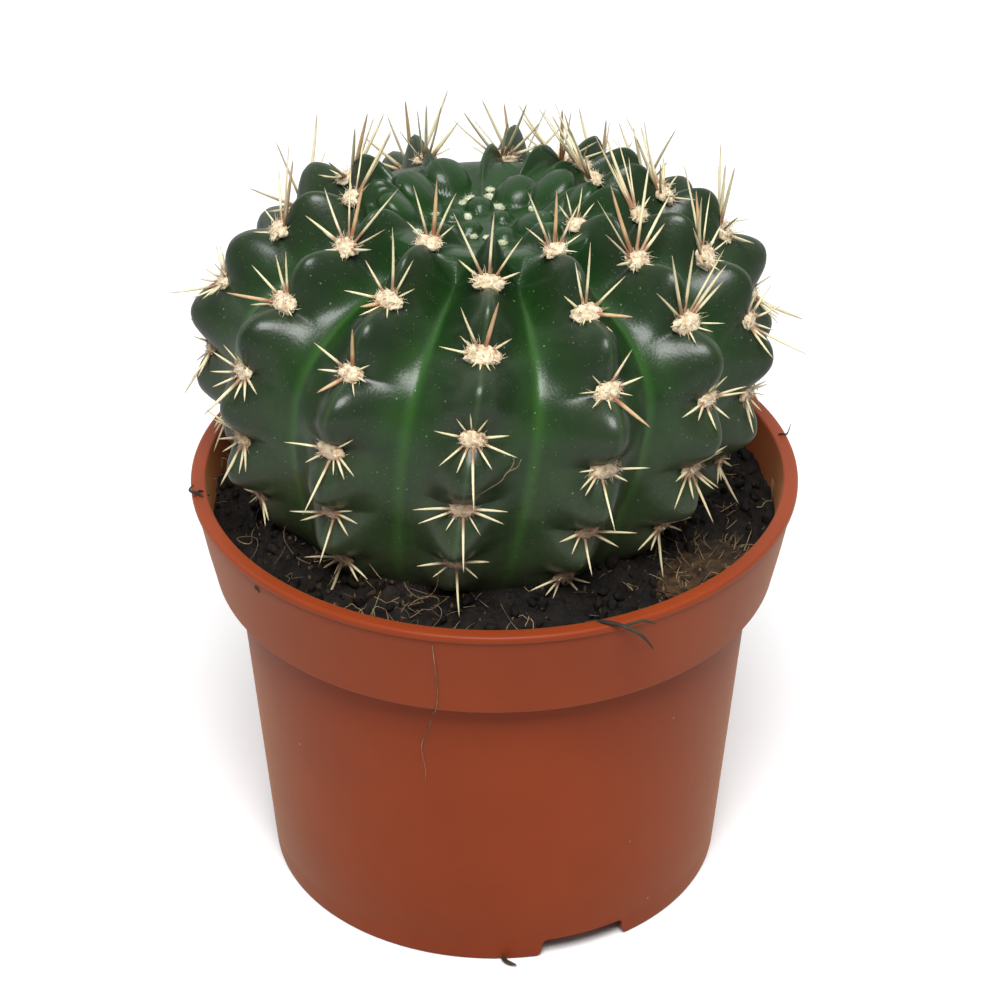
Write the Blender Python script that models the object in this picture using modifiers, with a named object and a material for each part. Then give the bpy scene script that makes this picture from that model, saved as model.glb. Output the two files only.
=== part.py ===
"""A round ribbed cactus in its plastic nursery pot.

Metres, +Z up. The origin is the centre of the pot's foot, on the surface that the pot stands on, and
the front of the plant faces -Y. Azimuths are in degrees, 0 at the front and rising towards +X.
"""

import math
from bisect import bisect_left

import bmesh
import bpy
from mathutils import Matrix, Vector, noise
from mathutils.bvhtree import BVHTree

MM = 0.001
GAP = 0.3 * MM  # left between pieces that touch
TOUCH = 0.6 * MM  # the same gap for rounded meshes, whose flat faces come nearer than their corners

# Pot: a 12 cm nursery pot.
POT_HEIGHT = 87.7 * MM
RIM_RADIUS = 60.0 * MM
LIP_WIDTH = 3.0 * MM
LIP_THICKNESS = 1.5 * MM
BAND_TOP_RADIUS = 59.5 * MM
BAND_FOOT_RADIUS = 55.9 * MM
BAND_FOOT_HEIGHT = 67.5 * MM
WALL_TOP_RADIUS = 51.6 * MM
WALL_FOOT_RADIUS = 45.7 * MM
WALL = 1.0 * MM
EDGE_ROUND = 1.0 * MM
FLOOR_HEIGHT = 4.6 * MM  # the foot ring below the floor is this high
NOTCH_AZIMUTHS = (23.0, 143.0, 263.0)
NOTCH_WIDTH = 17.5 * MM
NOTCH_HEIGHT = 4.3 * MM
DRAIN_HOLE_RADIUS = 4.0 * MM
DRAIN_HOLE_CENTRE = 35.0 * MM
POT_SEGMENTS = 72

# Soil.
SOIL_HEIGHT = 79.0 * MM
SOIL_DIP_AT_WALL = 1.5 * MM
SOCKET_GAP = 0.9 * MM  # the hollow for the stem is this much larger, less in its sharp grooves
SOIL_SEGMENTS = 48

# Stem: the line through the areoles is an ellipse in the upper half and a longer one below.
STEM_RADIUS = 52.0 * MM
STEM_UPPER = 30.6 * MM
STEM_LOWER = 57.0 * MM
STEM_EQUATOR = 121.4 * MM
STEM_CENTRE = Vector((-1.85 * MM, -0.7 * MM, 0.0))
STEM_LEAN = 0.05  # sideways towards +X for each unit of height
STEM_TWIST = math.radians(0.089) / MM
GROOVE_DEPTH = 7.0 * MM
GROOVE_DEPTH_LOW = 3.2 * MM  # the grooves get shallower down the side
GROOVE_FULL = 24.0 * MM  # distance down from the growing point where the grooves are at full depth
CREST_ROUNDNESS = 0.1  # the flanks of a rib meet in a rounded crest
SEAT_ROUNDNESS = 0.12  # the crest is rounder by this much at an areole, which sits on it
VALLEY_WIDTH = 1.7  # over 1 makes steeper flanks and a wider, flatter groove between two ribs
VALLEY_WIDTH_LOW = 1.15
TUBERCLE_HEIGHT = 5.0 * MM
OWN_SIZE = 0.16  # how much one tubercle's size may differ from another's
SIDE_START = 24.0 * MM  # from here down to SIDE_FULL the round tubercles of the crown get narrower
SIDE_FULL = 58.0 * MM
CALM_FOOT = 10.0 * MM
BURIED_FADE = 20.0 * MM
BURIED_FROM = SOIL_HEIGHT + 23.0 * MM
BURIED_SHARE = 0.15
APEX_DIP = 9.0 * MM  # the crown is sunken, with a floor that is almost level as far as CROWN_FLOOR
CROWN_FLOOR = 6.0 * MM
CROWN_EDGE = 26.0 * MM
REAR_REACH = 38.0 * MM  # towards the back, over this length, the top sinks and the humps grow
REAR_DROP = 6.2 * MM
REAR_SQUEEZE = 0.05
REAR_HUMPS = 0.6
REAR_YOUNG = 0.65  # how much of that height the youngest tubercles at the back still lack
REAR_GROOVES = 0.5  # and how much deeper the grooves are there
REAR_SPIRAL = math.radians(14.0)  # how far the ribs turn aside in the rear half of the crown
REAR_SPIRAL_FROM = 39.0 * MM
REAR_SPIRAL_LENGTH = 28.0 * MM
RIB_AZIMUTHS = (-2.9, 25.3, 51.4, 74.5, 100.0, 124.0, 147.0, 171.0, 201.0, 233.0, 270.5, 300.3, 328.2)
RIB_PHASES = (0.0, 0.6, 0.2, 0.82, 0.2, 0.5, 0.93, 0.94, 0.745, 0.15, 0.67, 0.05, 0.45)
RIBS = len(RIB_AZIMUTHS)
SEGMENTS_PER_RIB = 6
STEM_RINGS = 42
CROWN_RINGS = 14  # of these, rings within CROWN_LENGTH of the growing point
CROWN_LENGTH = 32.0 * MM
PROFILE_STEPS = 600

# Areoles: they follow each other down a rib at one spacing, closer together near the growing point.
AREOLE_SPACING = 14.9 * MM
YOUNGEST_FULL = 16.6 * MM  # distance down from the growing point where the full spacing starts
YOUNG_AREOLE = 19.0 * MM  # no areole with spines lies nearer to the growing point than this
YOUNG_ON_RIBS = (2, 4, 12)
ROWS_ON_A_RIB = 8
AREOLE_HALF_WIDTH = 2.9 * MM
AREOLE_HALF_LENGTH = 2.1 * MM
SEAT_STEP = 0.12 * MM  # a pad is raised off the skin by such steps until it clears it by SEAT_GAP
SEAT_STEPS = 60
SEAT_GAP = 0.15 * MM
AREOLE_HALF_HEIGHT = 1.25 * MM
PAD_SEGMENTS = 8
AREOLE_TURN = math.radians(6.0)  # each areole is turned a little, up to this much either way
SPINE_INSET = 0.42 * MM  # how far a spine's foot keeps inside its face of the pad

# Young tubercles of the crown: (azimuth, distance from the growing point in mm, half width in mm).
BEADS_REACH = 25.0 * MM
CROWN_BEADS = (
    (200, 6.2, 3.0),
    (156, 11.3, 4.4),
    (127, 14.6, 4.6),
    (211, 16.5, 4.5),
    (245, 15.6, 4.7),
    (100, 17.5, 3.3),
    (111, 2.4, 2.2),
    (313, 5.3, 2.6),
    (22, 6.8, 2.7),
    (71, 8.8, 4.0),
    (40, 14.5, 4.0),
    (315, 12.0, 3.7),
    (281, 17.8, 4.4),
    (282, 10.1, 2.2),
    (257, 7.3, 2.3),
)

# Spines of one areole: (direction from the upward line, clockwise; rise off the surface; length in mm).
SPINES_TOP = (
    (0, 62, 12.0),
    (-45, 50, 9.0),
    (45, 50, 8.5),
    (-90, 34, 6.0),
    (90, 34, 6.0),
    (-135, 40, 6.0),
    (135, 40, 6.0),
)
SPINES_SHOULDER = (
    (8, 56, 11.0),
    (-45, 44, 10.0),
    (45, 42, 8.5),
    (-90, 26, 8.0),
    (90, 26, 7.5),
    (135, 36, 6.5),
    (-135, 36, 6.0),
)
SPINES_SIDE = (
    (10, 48, 10.0),
    (-45, 38, 9.0),
    (50, 34, 8.0),
    (-90, 20, 8.0),
    (90, 20, 7.0),
    (150, 36, 7.0),
    (-135, 32, 6.0),
)
SPINES_LOW = (
    (180, 34, 9.5),
    (-50, 34, 7.0),
    (50, 34, 7.0),
    (-90, 16, 8.0),
    (90, 16, 8.0),
    (-135, 30, 7.0),
    (135, 30, 7.0),
)
SPINES_BY_ROW = (SPINES_TOP, SPINES_SHOULDER, SPINES_SIDE, SPINES_LOW)

# Felt between the young tubercles, and the coir clump on the soil.
APEX_WOOL_RADIUS = 4.5 * MM
APEX_WOOL_HALF_HEIGHT = 1.1 * MM
CLUMP_CENTRE = Vector((39.5 * MM, -27.5 * MM, 80.5 * MM))
CLUMP_HALF_SIZE = Vector((11.0 * MM, 6.0 * MM, 3.4 * MM))
CLUMP_TURN = math.radians(40.0)
CLUMP_LUMPS = 0.9 * MM


def clear_scene():
    for existing in list(bpy.data.objects):
        bpy.data.objects.remove(existing, do_unlink=True)


def new_collection(name, helper=False):
    collection = bpy.data.collections.new(name)
    collection.hide_render = helper
    bpy.context.scene.collection.children.link(collection)
    return collection


def new_material(name, colour, roughness, coat=0.0):
    material = bpy.data.materials.new(name)
    material.use_nodes = True
    shader = material.node_tree.nodes["Principled BSDF"]
    shader.inputs["Base Color"].default_value = (*colour, 1.0)
    shader.inputs["Roughness"].default_value = roughness
    shader.inputs["Coat Weight"].default_value = coat
    material.diffuse_color = (*colour, 1.0)
    return material


def new_object(name, mesh, collection, material=None):
    made = bpy.data.objects.new(name, mesh)
    if material:
        mesh.materials.append(material)
    collection.objects.link(made)
    return made


def mesh_from(bm, name, smooth_angle=40.0):
    mesh = bpy.data.meshes.new(name)
    bm.to_mesh(mesh)
    bm.free()
    mesh.shade_smooth()
    mesh.set_sharp_from_angle(angle=math.radians(smooth_angle))
    return mesh


def around(azimuth, radius, height):
    return Vector((radius * math.sin(azimuth), -radius * math.cos(azimuth), height))


def make_helper(helper):
    helper.hide_render = True
    helper.display_type = "WIRE"


def cut(target, cutter):
    modifier = target.modifiers.new("cut " + cutter.name, "BOOLEAN")
    modifier.operation = "DIFFERENCE"
    modifier.object = cutter


def keep_clear_of(piece, neighbour, gap=TOUCH):
    """Moves what would lie inside the neighbour out to the gap, so that the piece takes its shape."""
    modifier = piece.modifiers.new("seat on " + neighbour.name, "SHRINKWRAP")
    modifier.wrap_method = "NEAREST_SURFACEPOINT"
    modifier.wrap_mode = "OUTSIDE"
    modifier.target = neighbour
    modifier.offset = gap


def turned(name, outline, segments, collection, material):
    """A solid of revolution from (radius, height) points that run down its outer side."""
    bm = bmesh.new()
    points = [bm.verts.new((radius, 0.0, height)) for radius, height in outline]
    for start, end in zip(points, points[1:]):
        bm.edges.new((start, end))
    mesh = bpy.data.meshes.new(name)
    bm.to_mesh(mesh)
    bm.free()
    made = new_object(name, mesh, collection, material)
    screw = made.modifiers.new("turn", "SCREW")
    screw.steps = segments
    screw.render_steps = segments
    screw.use_merge_vertices = True
    screw.merge_threshold = 0.00001
    return made


# Pot ---------------------------------------------------------------------------------------------


def wall_radius(height):
    """Outer radius of the pot's tapered wall."""
    share = height / BAND_FOOT_HEIGHT
    return WALL_FOOT_RADIUS + (WALL_TOP_RADIUS - WALL_FOOT_RADIUS) * share


def band_radius(height):
    """Outer radius of the band below the lip."""
    share = (height - BAND_FOOT_HEIGHT) / (POT_HEIGHT - LIP_THICKNESS - BAND_FOOT_HEIGHT)
    return BAND_FOOT_RADIUS + (BAND_TOP_RADIUS - BAND_FOOT_RADIUS) * share


def lip_inner_radius(height):
    """Inner radius of the band, which thickens towards the lip."""
    foot = BAND_FOOT_HEIGHT + WALL
    share = (height - foot) / (POT_HEIGHT - EDGE_ROUND - foot)
    foot_radius = band_radius(foot) - WALL
    return foot_radius + (RIM_RADIUS - LIP_WIDTH - foot_radius) * share


def arc(centre_radius, centre_height, size, start, end, steps=2):
    """Points of a rounded edge, from one angle to another in degrees."""
    points = []
    for step in range(steps + 1):
        angle = math.radians(start + (end - start) * step / steps)
        points.append((centre_radius + size * math.cos(angle), centre_height + size * math.sin(angle)))
    return points


def pot_outline():
    floor_top = FLOOR_HEIGHT + WALL
    lip_edge = 0.45 * MM
    lip_foot = POT_HEIGHT - LIP_THICKNESS
    step_round = 0.6 * MM
    inside = [(0.0, floor_top), (wall_radius(floor_top) - WALL - EDGE_ROUND, floor_top)]
    inside += [(wall_radius(floor_top) - WALL, floor_top + EDGE_ROUND)]
    inside += [(wall_radius(BAND_FOOT_HEIGHT) - WALL, BAND_FOOT_HEIGHT + WALL)]
    for height in (BAND_FOOT_HEIGHT + WALL, POT_HEIGHT - EDGE_ROUND):
        inside += [(lip_inner_radius(height), height)]
    lip = [(RIM_RADIUS - LIP_WIDTH + lip_edge, POT_HEIGHT)]
    lip += arc(RIM_RADIUS - lip_edge, POT_HEIGHT - lip_edge, lip_edge, 90, 0)
    lip += [(RIM_RADIUS, lip_foot), (band_radius(lip_foot), lip_foot)]
    band = arc(BAND_FOOT_RADIUS - step_round, BAND_FOOT_HEIGHT + step_round, step_round, 0, -90)
    wall = [(wall_radius(BAND_FOOT_HEIGHT), BAND_FOOT_HEIGHT)]
    wall += arc(wall_radius(0.0) - 0.6 * MM, 0.6 * MM, 0.6 * MM, 0, -90)
    foot = [(wall_radius(0.0) - WALL - 0.2 * MM, 0.0), (wall_radius(FLOOR_HEIGHT) - WALL, FLOOR_HEIGHT)]
    return inside + lip + band + wall + foot + [(0.0, FLOOR_HEIGHT)]


def make_pot(collection, cutters):
    material = new_material("terracotta_plastic", (0.28, 0.068, 0.028), 0.42)
    pot = turned("pot", pot_outline(), POT_SEGMENTS, collection, material)
    for number, degrees in enumerate(NOTCH_AZIMUTHS, start=1):
        azimuth = math.radians(degrees)
        bm = bmesh.new()
        bmesh.ops.create_cube(bm, size=1.0)
        bmesh.ops.scale(bm, vec=(NOTCH_WIDTH, 14.0 * MM, 2.0 * NOTCH_HEIGHT), verts=bm.verts)
        notch = new_object(f"notch_cutter_{number}", mesh_from(bm, "notch_cutter"), cutters)
        notch.location = around(azimuth, WALL_FOOT_RADIUS, 0.0)
        notch.rotation_euler.z = azimuth
        bevel = notch.modifiers.new("round corners", "BEVEL")
        bevel.width = 1.5 * MM
        bevel.segments = 3
        bm = bmesh.new()
        bmesh.ops.create_cone(
            bm,
            cap_ends=True,
            segments=20,
            radius1=DRAIN_HOLE_RADIUS,
            radius2=DRAIN_HOLE_RADIUS,
            depth=4.0 * WALL,
        )
        hole = new_object(f"drain_cutter_{number}", mesh_from(bm, "drain_cutter"), cutters)
        hole.location = around(azimuth, DRAIN_HOLE_CENTRE, FLOOR_HEIGHT + WALL / 2)
        for cutter in (notch, hole):
            make_helper(cutter)
            cut(pot, cutter)
    return pot


# Stem --------------------------------------------------------------------------------------------


def areole_line(latitude):
    """Radius and height of the line through the areoles at a latitude of the stem."""
    half_height = STEM_UPPER if latitude > 0 else STEM_LOWER
    return STEM_RADIUS * math.cos(latitude), half_height * math.sin(latitude)


def outward_slope(latitude):
    """Direction off the areole line, as (sideways, upwards)."""
    half_height = STEM_UPPER if latitude > 0 else STEM_LOWER
    return Vector((math.cos(latitude) / STEM_RADIUS, math.sin(latitude) / half_height)).normalized()


def latitudes_by_distance():
    """Distance down from the growing point, and the latitude there, in small steps."""
    table = [(0.0, math.pi / 2)]
    before = areole_line(math.pi / 2)
    for step in range(1, PROFILE_STEPS + 1):
        latitude = math.pi / 2 - math.pi * step / PROFILE_STEPS
        here = areole_line(latitude)
        table.append((table[-1][0] + math.dist(before, here), latitude))
        before = here
    return table


PROFILE = latitudes_by_distance()
STEM_LENGTH = PROFILE[-1][0]


def latitude_at(distance):
    for (near, above), (far, below) in zip(PROFILE, PROFILE[1:]):
        if distance <= far:
            return above + (below - above) * (distance - near) / (far - near)
    return PROFILE[-1][1]


def distance_of(areole_count):
    """Distance down the rib of one of its full-sized areoles."""
    return YOUNGEST_FULL + areole_count * AREOLE_SPACING


def smooth_step(value):
    value = min(max(value, 0.0), 1.0)
    return value * value * (3.0 - 2.0 * value)


def areole_distances(rib):
    """Distance down a rib of each of its areoles, the youngest first."""
    phase = RIB_PHASES[rib]
    first = 1 if phase < 0.5 else 0
    distances = [distance_of(first + row + phase) for row in range(ROWS_ON_A_RIB)]
    if rib in YOUNG_ON_RIBS:
        distances.insert(0, max(distance_of(phase), YOUNG_AREOLE))
    return distances


AREOLES = [areole_distances(rib) for rib in range(RIBS)]


def swelling_at(rib, distance):
    """0 at an areole and 1 on the tubercle midway to the next, with each tubercle's own size."""
    older = bisect_left(AREOLES[rib], distance)
    if older == len(AREOLES[rib]):
        return 0.0
    far = AREOLES[rib][older]
    near = AREOLES[rib][older - 1] if older else far - AREOLE_SPACING
    fraction = max((distance - near) / (far - near), 0.0)
    own_size = 1.0 + OWN_SIZE * noise.noise(Vector((3.7 * rib, 5.3 * older, 0.5)))
    return own_size * math.sin(math.pi * fraction) ** 1.2


def bead_lift(azimuth, distance):
    """Height of the young tubercles of the crown above its sunken floor."""
    place = Vector((distance * math.sin(azimuth), distance * math.cos(azimuth)))
    highest = 0.0
    for degrees, far, half_width in CROWN_BEADS:
        turn = math.radians(degrees)
        away = place - far * MM * Vector((math.sin(turn), math.cos(turn)))
        inside = 1.0 - (away.length / (half_width * MM)) ** 2
        if inside > 0.0:
            highest = max(highest, 0.95 * half_width * MM * math.sqrt(inside))
    return highest


def rear_spiral(azimuth, distance):
    """Turn aside of the ribs at the back of the crown."""
    share = smooth_step(-1.6 * math.cos(azimuth))
    return REAR_SPIRAL * share * smooth_step((REAR_SPIRAL_FROM - distance) / REAR_SPIRAL_LENGTH)


def stem_point(rib, across, distance):
    """A point of the skin. across runs from -1 to 1 over a rib, 0 on its crest."""
    latitude = latitude_at(distance)
    radius, rise = areole_line(latitude)
    out = outward_slope(latitude)
    turns, place = divmod(rib + (1 if across >= 0 else -1), RIBS)
    next_azimuth = RIB_AZIMUTHS[place] + 360.0 * turns
    azimuth = math.radians(RIB_AZIMUTHS[rib] + (next_azimuth - RIB_AZIMUTHS[rib]) * abs(across) / 2)
    rear_side = max(-math.cos(azimuth), 0.0)
    spiral = rear_spiral(azimuth, distance)
    relief_share = 1.0 - (1.0 - BURIED_SHARE) * smooth_step((BURIED_FROM - STEM_EQUATOR - rise) / BURIED_FADE)
    relief_share *= smooth_step((distance - 8 * MM) / (12 * MM))
    relief_share *= smooth_step((STEM_LENGTH - distance) / CALM_FOOT)
    crest = max(math.cos(math.pi * across / 2), 0.0)
    down_side = smooth_step((distance - SIDE_START) / (SIDE_FULL - SIDE_START))
    groove = GROOVE_DEPTH + (GROOVE_DEPTH_LOW - GROOVE_DEPTH) * down_side
    groove *= smooth_step(distance / GROOVE_FULL) * (1.0 + REAR_GROOVES * rear_side * (1.0 - down_side))
    swelling = swelling_at(rib, distance)
    sharpness = 1.3 + 2.5 * down_side + 0.7 * rear_side * (1.0 - down_side)
    hump = TUBERCLE_HEIGHT * swelling * crest**sharpness
    hump *= 1.0 + REAR_HUMPS * rear_side
    hump *= 1.0 - REAR_YOUNG * rear_side * smooth_step((35 * MM - distance) / (13 * MM))
    rounded = CREST_ROUNDNESS + SEAT_ROUNDNESS * max(1.0 - swelling, 0.0)
    flank = (math.hypot(across, rounded) - rounded) / (math.hypot(1.0, rounded) - rounded)
    flank = 1.0 - (1.0 - flank) ** (VALLEY_WIDTH + (VALLEY_WIDTH_LOW - VALLEY_WIDTH) * down_side)
    lift = (hump - groove * flank) * relief_share
    if distance < BEADS_REACH:
        lift = max(lift, bead_lift(azimuth + spiral + STEM_TWIST * rise, distance) - 0.5 * MM)
    dip = APEX_DIP * smooth_step((CROWN_EDGE - distance) / (CROWN_EDGE - CROWN_FLOOR))
    radius += out.x * lift
    height = STEM_EQUATOR + rise + out.y * lift - dip
    azimuth += STEM_TWIST * (height - STEM_EQUATOR) + spiral
    point = around(azimuth, max(radius, 0.0), height) + STEM_CENTRE
    point.x += STEM_LEAN * (height - STEM_EQUATOR)
    rear = smooth_step(point.y / REAR_REACH)
    point.y *= 1.0 - REAR_SQUEEZE * rear
    point.z -= REAR_DROP * rear * smooth_step((height - STEM_EQUATOR + 15 * MM) / (30 * MM))
    return point


def ring_distance(share_down):
    """Distance of a ring from the growing point. The rings are closer together in the crown."""
    crown_share = CROWN_RINGS / STEM_RINGS
    if share_down < crown_share:
        return CROWN_LENGTH * share_down / crown_share
    return CROWN_LENGTH + (STEM_LENGTH - CROWN_LENGTH) * (share_down - crown_share) / (1.0 - crown_share)


def make_stem(collection):
    bm = bmesh.new()
    bmesh.ops.create_uvsphere(bm, u_segments=RIBS * SEGMENTS_PER_RIB, v_segments=STEM_RINGS, radius=1.0)
    for vertex in bm.verts:
        share_down = math.acos(min(max(vertex.co.z, -1.0), 1.0)) / math.pi
        turn = math.atan2(vertex.co.x, -vertex.co.y) / math.tau * RIBS
        if share_down < 1e-4 or share_down > 1.0 - 1e-4:
            turn = 0.0
        rib = math.floor(turn + 0.5)
        vertex.co = stem_point(rib % RIBS, 2.0 * (turn - rib), ring_distance(share_down))
    material = new_material("cactus_skin", (0.028, 0.082, 0.035), 0.38, coat=0.2)
    return new_object("cactus_stem", mesh_from(bm, "cactus_stem", 60.0), collection, material)


# Areoles and spines ------------------------------------------------------------------------------


def areole_frame(rib, distance):
    """Place of an areole: X across the rib, Y up along it, Z out of the skin."""
    point = stem_point(rib, 0.0, distance)
    outward = outward_slope(latitude_at(distance))
    azimuth = math.radians(RIB_AZIMUTHS[rib]) + STEM_TWIST * (point.z - STEM_EQUATOR)
    out = around(azimuth, outward.x, outward.y)
    across = Vector((math.cos(azimuth), math.sin(azimuth), 0.0))
    up = out.cross(across)
    return Matrix.Translation(point) @ Matrix((across, up, out)).transposed().to_4x4()


def areole_mesh(name, spines):
    """A felt pad with its spines drawn out of the pad's own faces, each to a point."""
    bm = bmesh.new()
    bmesh.ops.create_uvsphere(bm, u_segments=PAD_SEGMENTS, v_segments=4, radius=1.0)
    half_turn_of_a_face = Matrix.Rotation(math.pi / PAD_SEGMENTS, 3, "Z")
    bmesh.ops.rotate(bm, cent=(0, 0, 0), matrix=half_turn_of_a_face, verts=bm.verts)
    bmesh.ops.scale(bm, vec=(AREOLE_HALF_WIDTH, AREOLE_HALF_LENGTH, AREOLE_HALF_HEIGHT), verts=bm.verts)
    ring = [face for face in bm.faces if len(face.verts) == 4 and face.calc_center_median().z > 0]
    for direction, rise, length in spines:
        turn = math.radians(direction)
        lift = math.radians(rise)
        level = Vector((math.sin(turn), math.cos(turn), 0.0))
        pointing = level * math.cos(lift) + Vector((0.0, 0.0, math.sin(lift)))
        foot = max(ring, key=lambda face: face.calc_center_median().normalized().dot(level))
        ring.remove(foot)
        start = foot.calc_center_median()
        bmesh.ops.inset_individual(bm, faces=[foot], thickness=SPINE_INSET, use_even_offset=True)
        tip = bmesh.ops.poke(bm, faces=[foot])["verts"][0]
        tip.co = start + pointing * length * MM
    return mesh_from(bm, name)


def skin_tree(stem):
    mesh = stem.data
    return BVHTree.FromPolygons([vertex.co for vertex in mesh.vertices], [face.vertices for face in mesh.polygons])


def seat(piece, place, skin):
    """Raises a piece along its own Z by small steps, until it and its edges keep clear of the skin."""
    mesh = piece.data
    faces = [face.vertices for face in mesh.polygons]
    for step in range(SEAT_STEPS):
        raised = place @ Matrix.Translation((0.0, 0.0, step * SEAT_STEP))
        points = [raised @ vertex.co for vertex in mesh.vertices]
        near = min(skin.find_nearest(point)[3] for point in points)
        if near > SEAT_GAP and not BVHTree.FromPolygons(points, faces).overlap(skin):
            break
    piece.location = (raised @ Matrix.Translation((0.0, 0.0, SEAT_STEP))).translation
    piece.rotation_euler = raised.to_euler()


def make_areoles(collection, stem):
    material = new_material("areole_felt_and_spines", (0.62, 0.54, 0.38), 0.7)
    skin = skin_tree(stem)
    for row, spines in enumerate(SPINES_BY_ROW):
        mesh = areole_mesh(f"areole_row{row + 1}", spines)
        mesh.materials.append(material)
        for rib in range(RIBS):
            # The first full row lies just past the young areoles, whatever the rib's phase.
            first = 1 if RIB_PHASES[rib] < 0.5 else 0
            frame = areole_frame(rib, distance_of(first + row + RIB_PHASES[rib]))
            frame = frame @ Matrix.Translation((0.0, 0.0, 0.6 * AREOLE_HALF_HEIGHT))
            own_turn = AREOLE_TURN * math.sin(2.4 * rib + 1.7 * row)
            frame = frame @ Matrix.Rotation(own_turn, 4, "Z")
            areole = new_object(f"areole_rib{rib + 1:02d}_row{row + 1}", mesh, collection)
            seat(areole, frame, skin)


def make_apex_wool(collection, stem):
    bm = bmesh.new()
    bmesh.ops.create_uvsphere(bm, u_segments=26, v_segments=8, radius=1.0)
    half_size = (APEX_WOOL_RADIUS, APEX_WOOL_RADIUS, APEX_WOOL_HALF_HEIGHT)
    bmesh.ops.scale(bm, vec=half_size, verts=bm.verts)
    material = new_material("white_felt", (0.75, 0.74, 0.66), 0.9)
    wool = new_object("apex_wool", mesh_from(bm, "apex_wool"), collection, material)
    seat(wool, Matrix.Translation(stem_point(0, 0.0, 0.0)), skin_tree(stem))
    return wool


# Soil --------------------------------------------------------------------------------------------


def make_soil(collection, cutters, stem):
    floor_top = FLOOR_HEIGHT + WALL
    bottom = floor_top + GAP
    shelf = BAND_FOOT_HEIGHT + WALL + GAP
    edge_height = SOIL_HEIGHT - SOIL_DIP_AT_WALL
    clear = GAP + 0.15 * MM  # the flats of the two turned shapes don't line up
    in_wall = clear + WALL
    outline = [(0.0, SOIL_HEIGHT), (0.8 * RIM_RADIUS, SOIL_HEIGHT)]
    outline += [(lip_inner_radius(edge_height) - clear - EDGE_ROUND, edge_height)]
    outline += [(lip_inner_radius(edge_height - EDGE_ROUND) - clear, edge_height - EDGE_ROUND)]
    outline += [(lip_inner_radius(shelf) - clear, shelf), (wall_radius(BAND_FOOT_HEIGHT) - in_wall, shelf)]
    outline += [(wall_radius(floor_top) - in_wall, floor_top + EDGE_ROUND + GAP)]
    outline += [(wall_radius(floor_top) - in_wall - EDGE_ROUND, bottom), (0.0, bottom)]
    material = new_material("dark_peat", (0.022, 0.016, 0.011), 0.95)
    soil = turned("soil", outline, SOIL_SEGMENTS, collection, material)
    socket = new_object("stem_socket_cutter", stem.data.copy(), cutters)
    socket.data.materials.clear()
    swell = socket.modifiers.new("gap round the stem", "DISPLACE")
    swell.direction = "NORMAL"
    swell.strength = SOCKET_GAP
    swell.mid_level = 0.0
    make_helper(socket)
    cut(soil, socket)
    return soil


def make_soil_clump(collection, soil):
    bm = bmesh.new()
    bmesh.ops.create_icosphere(bm, subdivisions=3, radius=1.0)
    for vertex in bm.verts:
        outward = vertex.co.normalized()
        stretched = Vector(a * b for a, b in zip(vertex.co, CLUMP_HALF_SIZE))
        vertex.co = stretched + outward * CLUMP_LUMPS * noise.noise(vertex.co * 2.5)
    bmesh.ops.rotate(bm, cent=(0, 0, 0), matrix=Matrix.Rotation(CLUMP_TURN, 3, "Z"), verts=bm.verts)
    material = new_material("brown_coir", (0.11, 0.066, 0.036), 0.95)
    clump = new_object("soil_clump", mesh_from(bm, "soil_clump", 60.0), collection, material)
    clump.location = CLUMP_CENTRE
    keep_clear_of(clump, soil)
    return clump


def main():
    clear_scene()
    parts = new_collection("potted_round_cactus")
    cutters = new_collection("cutters", helper=True)
    make_pot(parts, cutters)
    stem = make_stem(parts)
    soil = make_soil(parts, cutters, stem)
    make_soil_clump(parts, soil)
    make_areoles(parts, stem)
    make_apex_wool(parts, stem)


main()
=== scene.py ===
# %% [markdown]
# # A round cactus in its nursery pot
# The plant is a ribbed globe, wider than it is high, in a 12 cm pot of thin brick-red plastic. Its
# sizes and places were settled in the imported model, which this lesson loads first and never changes.
# Every cell then makes one real piece over that frame: the pot, the fleshy stem, the felt pads with
# their spines, the wool in the crown, the peat, and the loose bits that fell where they lie.
#
# Azimuths are in degrees, 0 at the front (-Y) and rising towards +X. Lengths are in metres, so most
# are written as a number of millimetres times MM.

import math
import random
from bisect import bisect_left

import bpy
from mathutils import Euler, Matrix, Vector, noise


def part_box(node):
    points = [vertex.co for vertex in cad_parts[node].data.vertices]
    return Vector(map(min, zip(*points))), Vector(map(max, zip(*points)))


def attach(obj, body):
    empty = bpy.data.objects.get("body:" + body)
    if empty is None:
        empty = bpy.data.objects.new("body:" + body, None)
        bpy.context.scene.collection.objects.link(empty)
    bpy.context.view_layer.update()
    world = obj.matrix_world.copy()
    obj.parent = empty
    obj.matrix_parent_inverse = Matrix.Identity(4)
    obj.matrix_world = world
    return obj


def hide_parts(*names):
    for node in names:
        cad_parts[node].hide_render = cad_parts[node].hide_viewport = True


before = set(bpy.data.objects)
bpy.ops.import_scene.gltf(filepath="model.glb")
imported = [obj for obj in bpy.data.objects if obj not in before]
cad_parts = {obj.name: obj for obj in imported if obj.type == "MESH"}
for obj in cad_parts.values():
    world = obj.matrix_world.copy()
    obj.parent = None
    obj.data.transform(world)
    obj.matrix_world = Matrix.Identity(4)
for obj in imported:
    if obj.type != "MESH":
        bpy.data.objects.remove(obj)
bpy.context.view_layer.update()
MM = 0.001

# %% [markdown]
# ## Camera
# The camera stands in front of the plant and looks down at it by about 32 degrees, through a long
# lens, so the pot's wall hardly converges. It is placed from its distance and elevation about a
# target at half the plant's height.

# %% Camera
CAMERA_DISTANCE = 732.1 * MM
CAMERA_ELEVATION = math.radians(32.3)
CAMERA_TARGET = Vector((1.1 * MM, 0.0, 79.9 * MM))
CAMERA_LENS = 132.4


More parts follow.
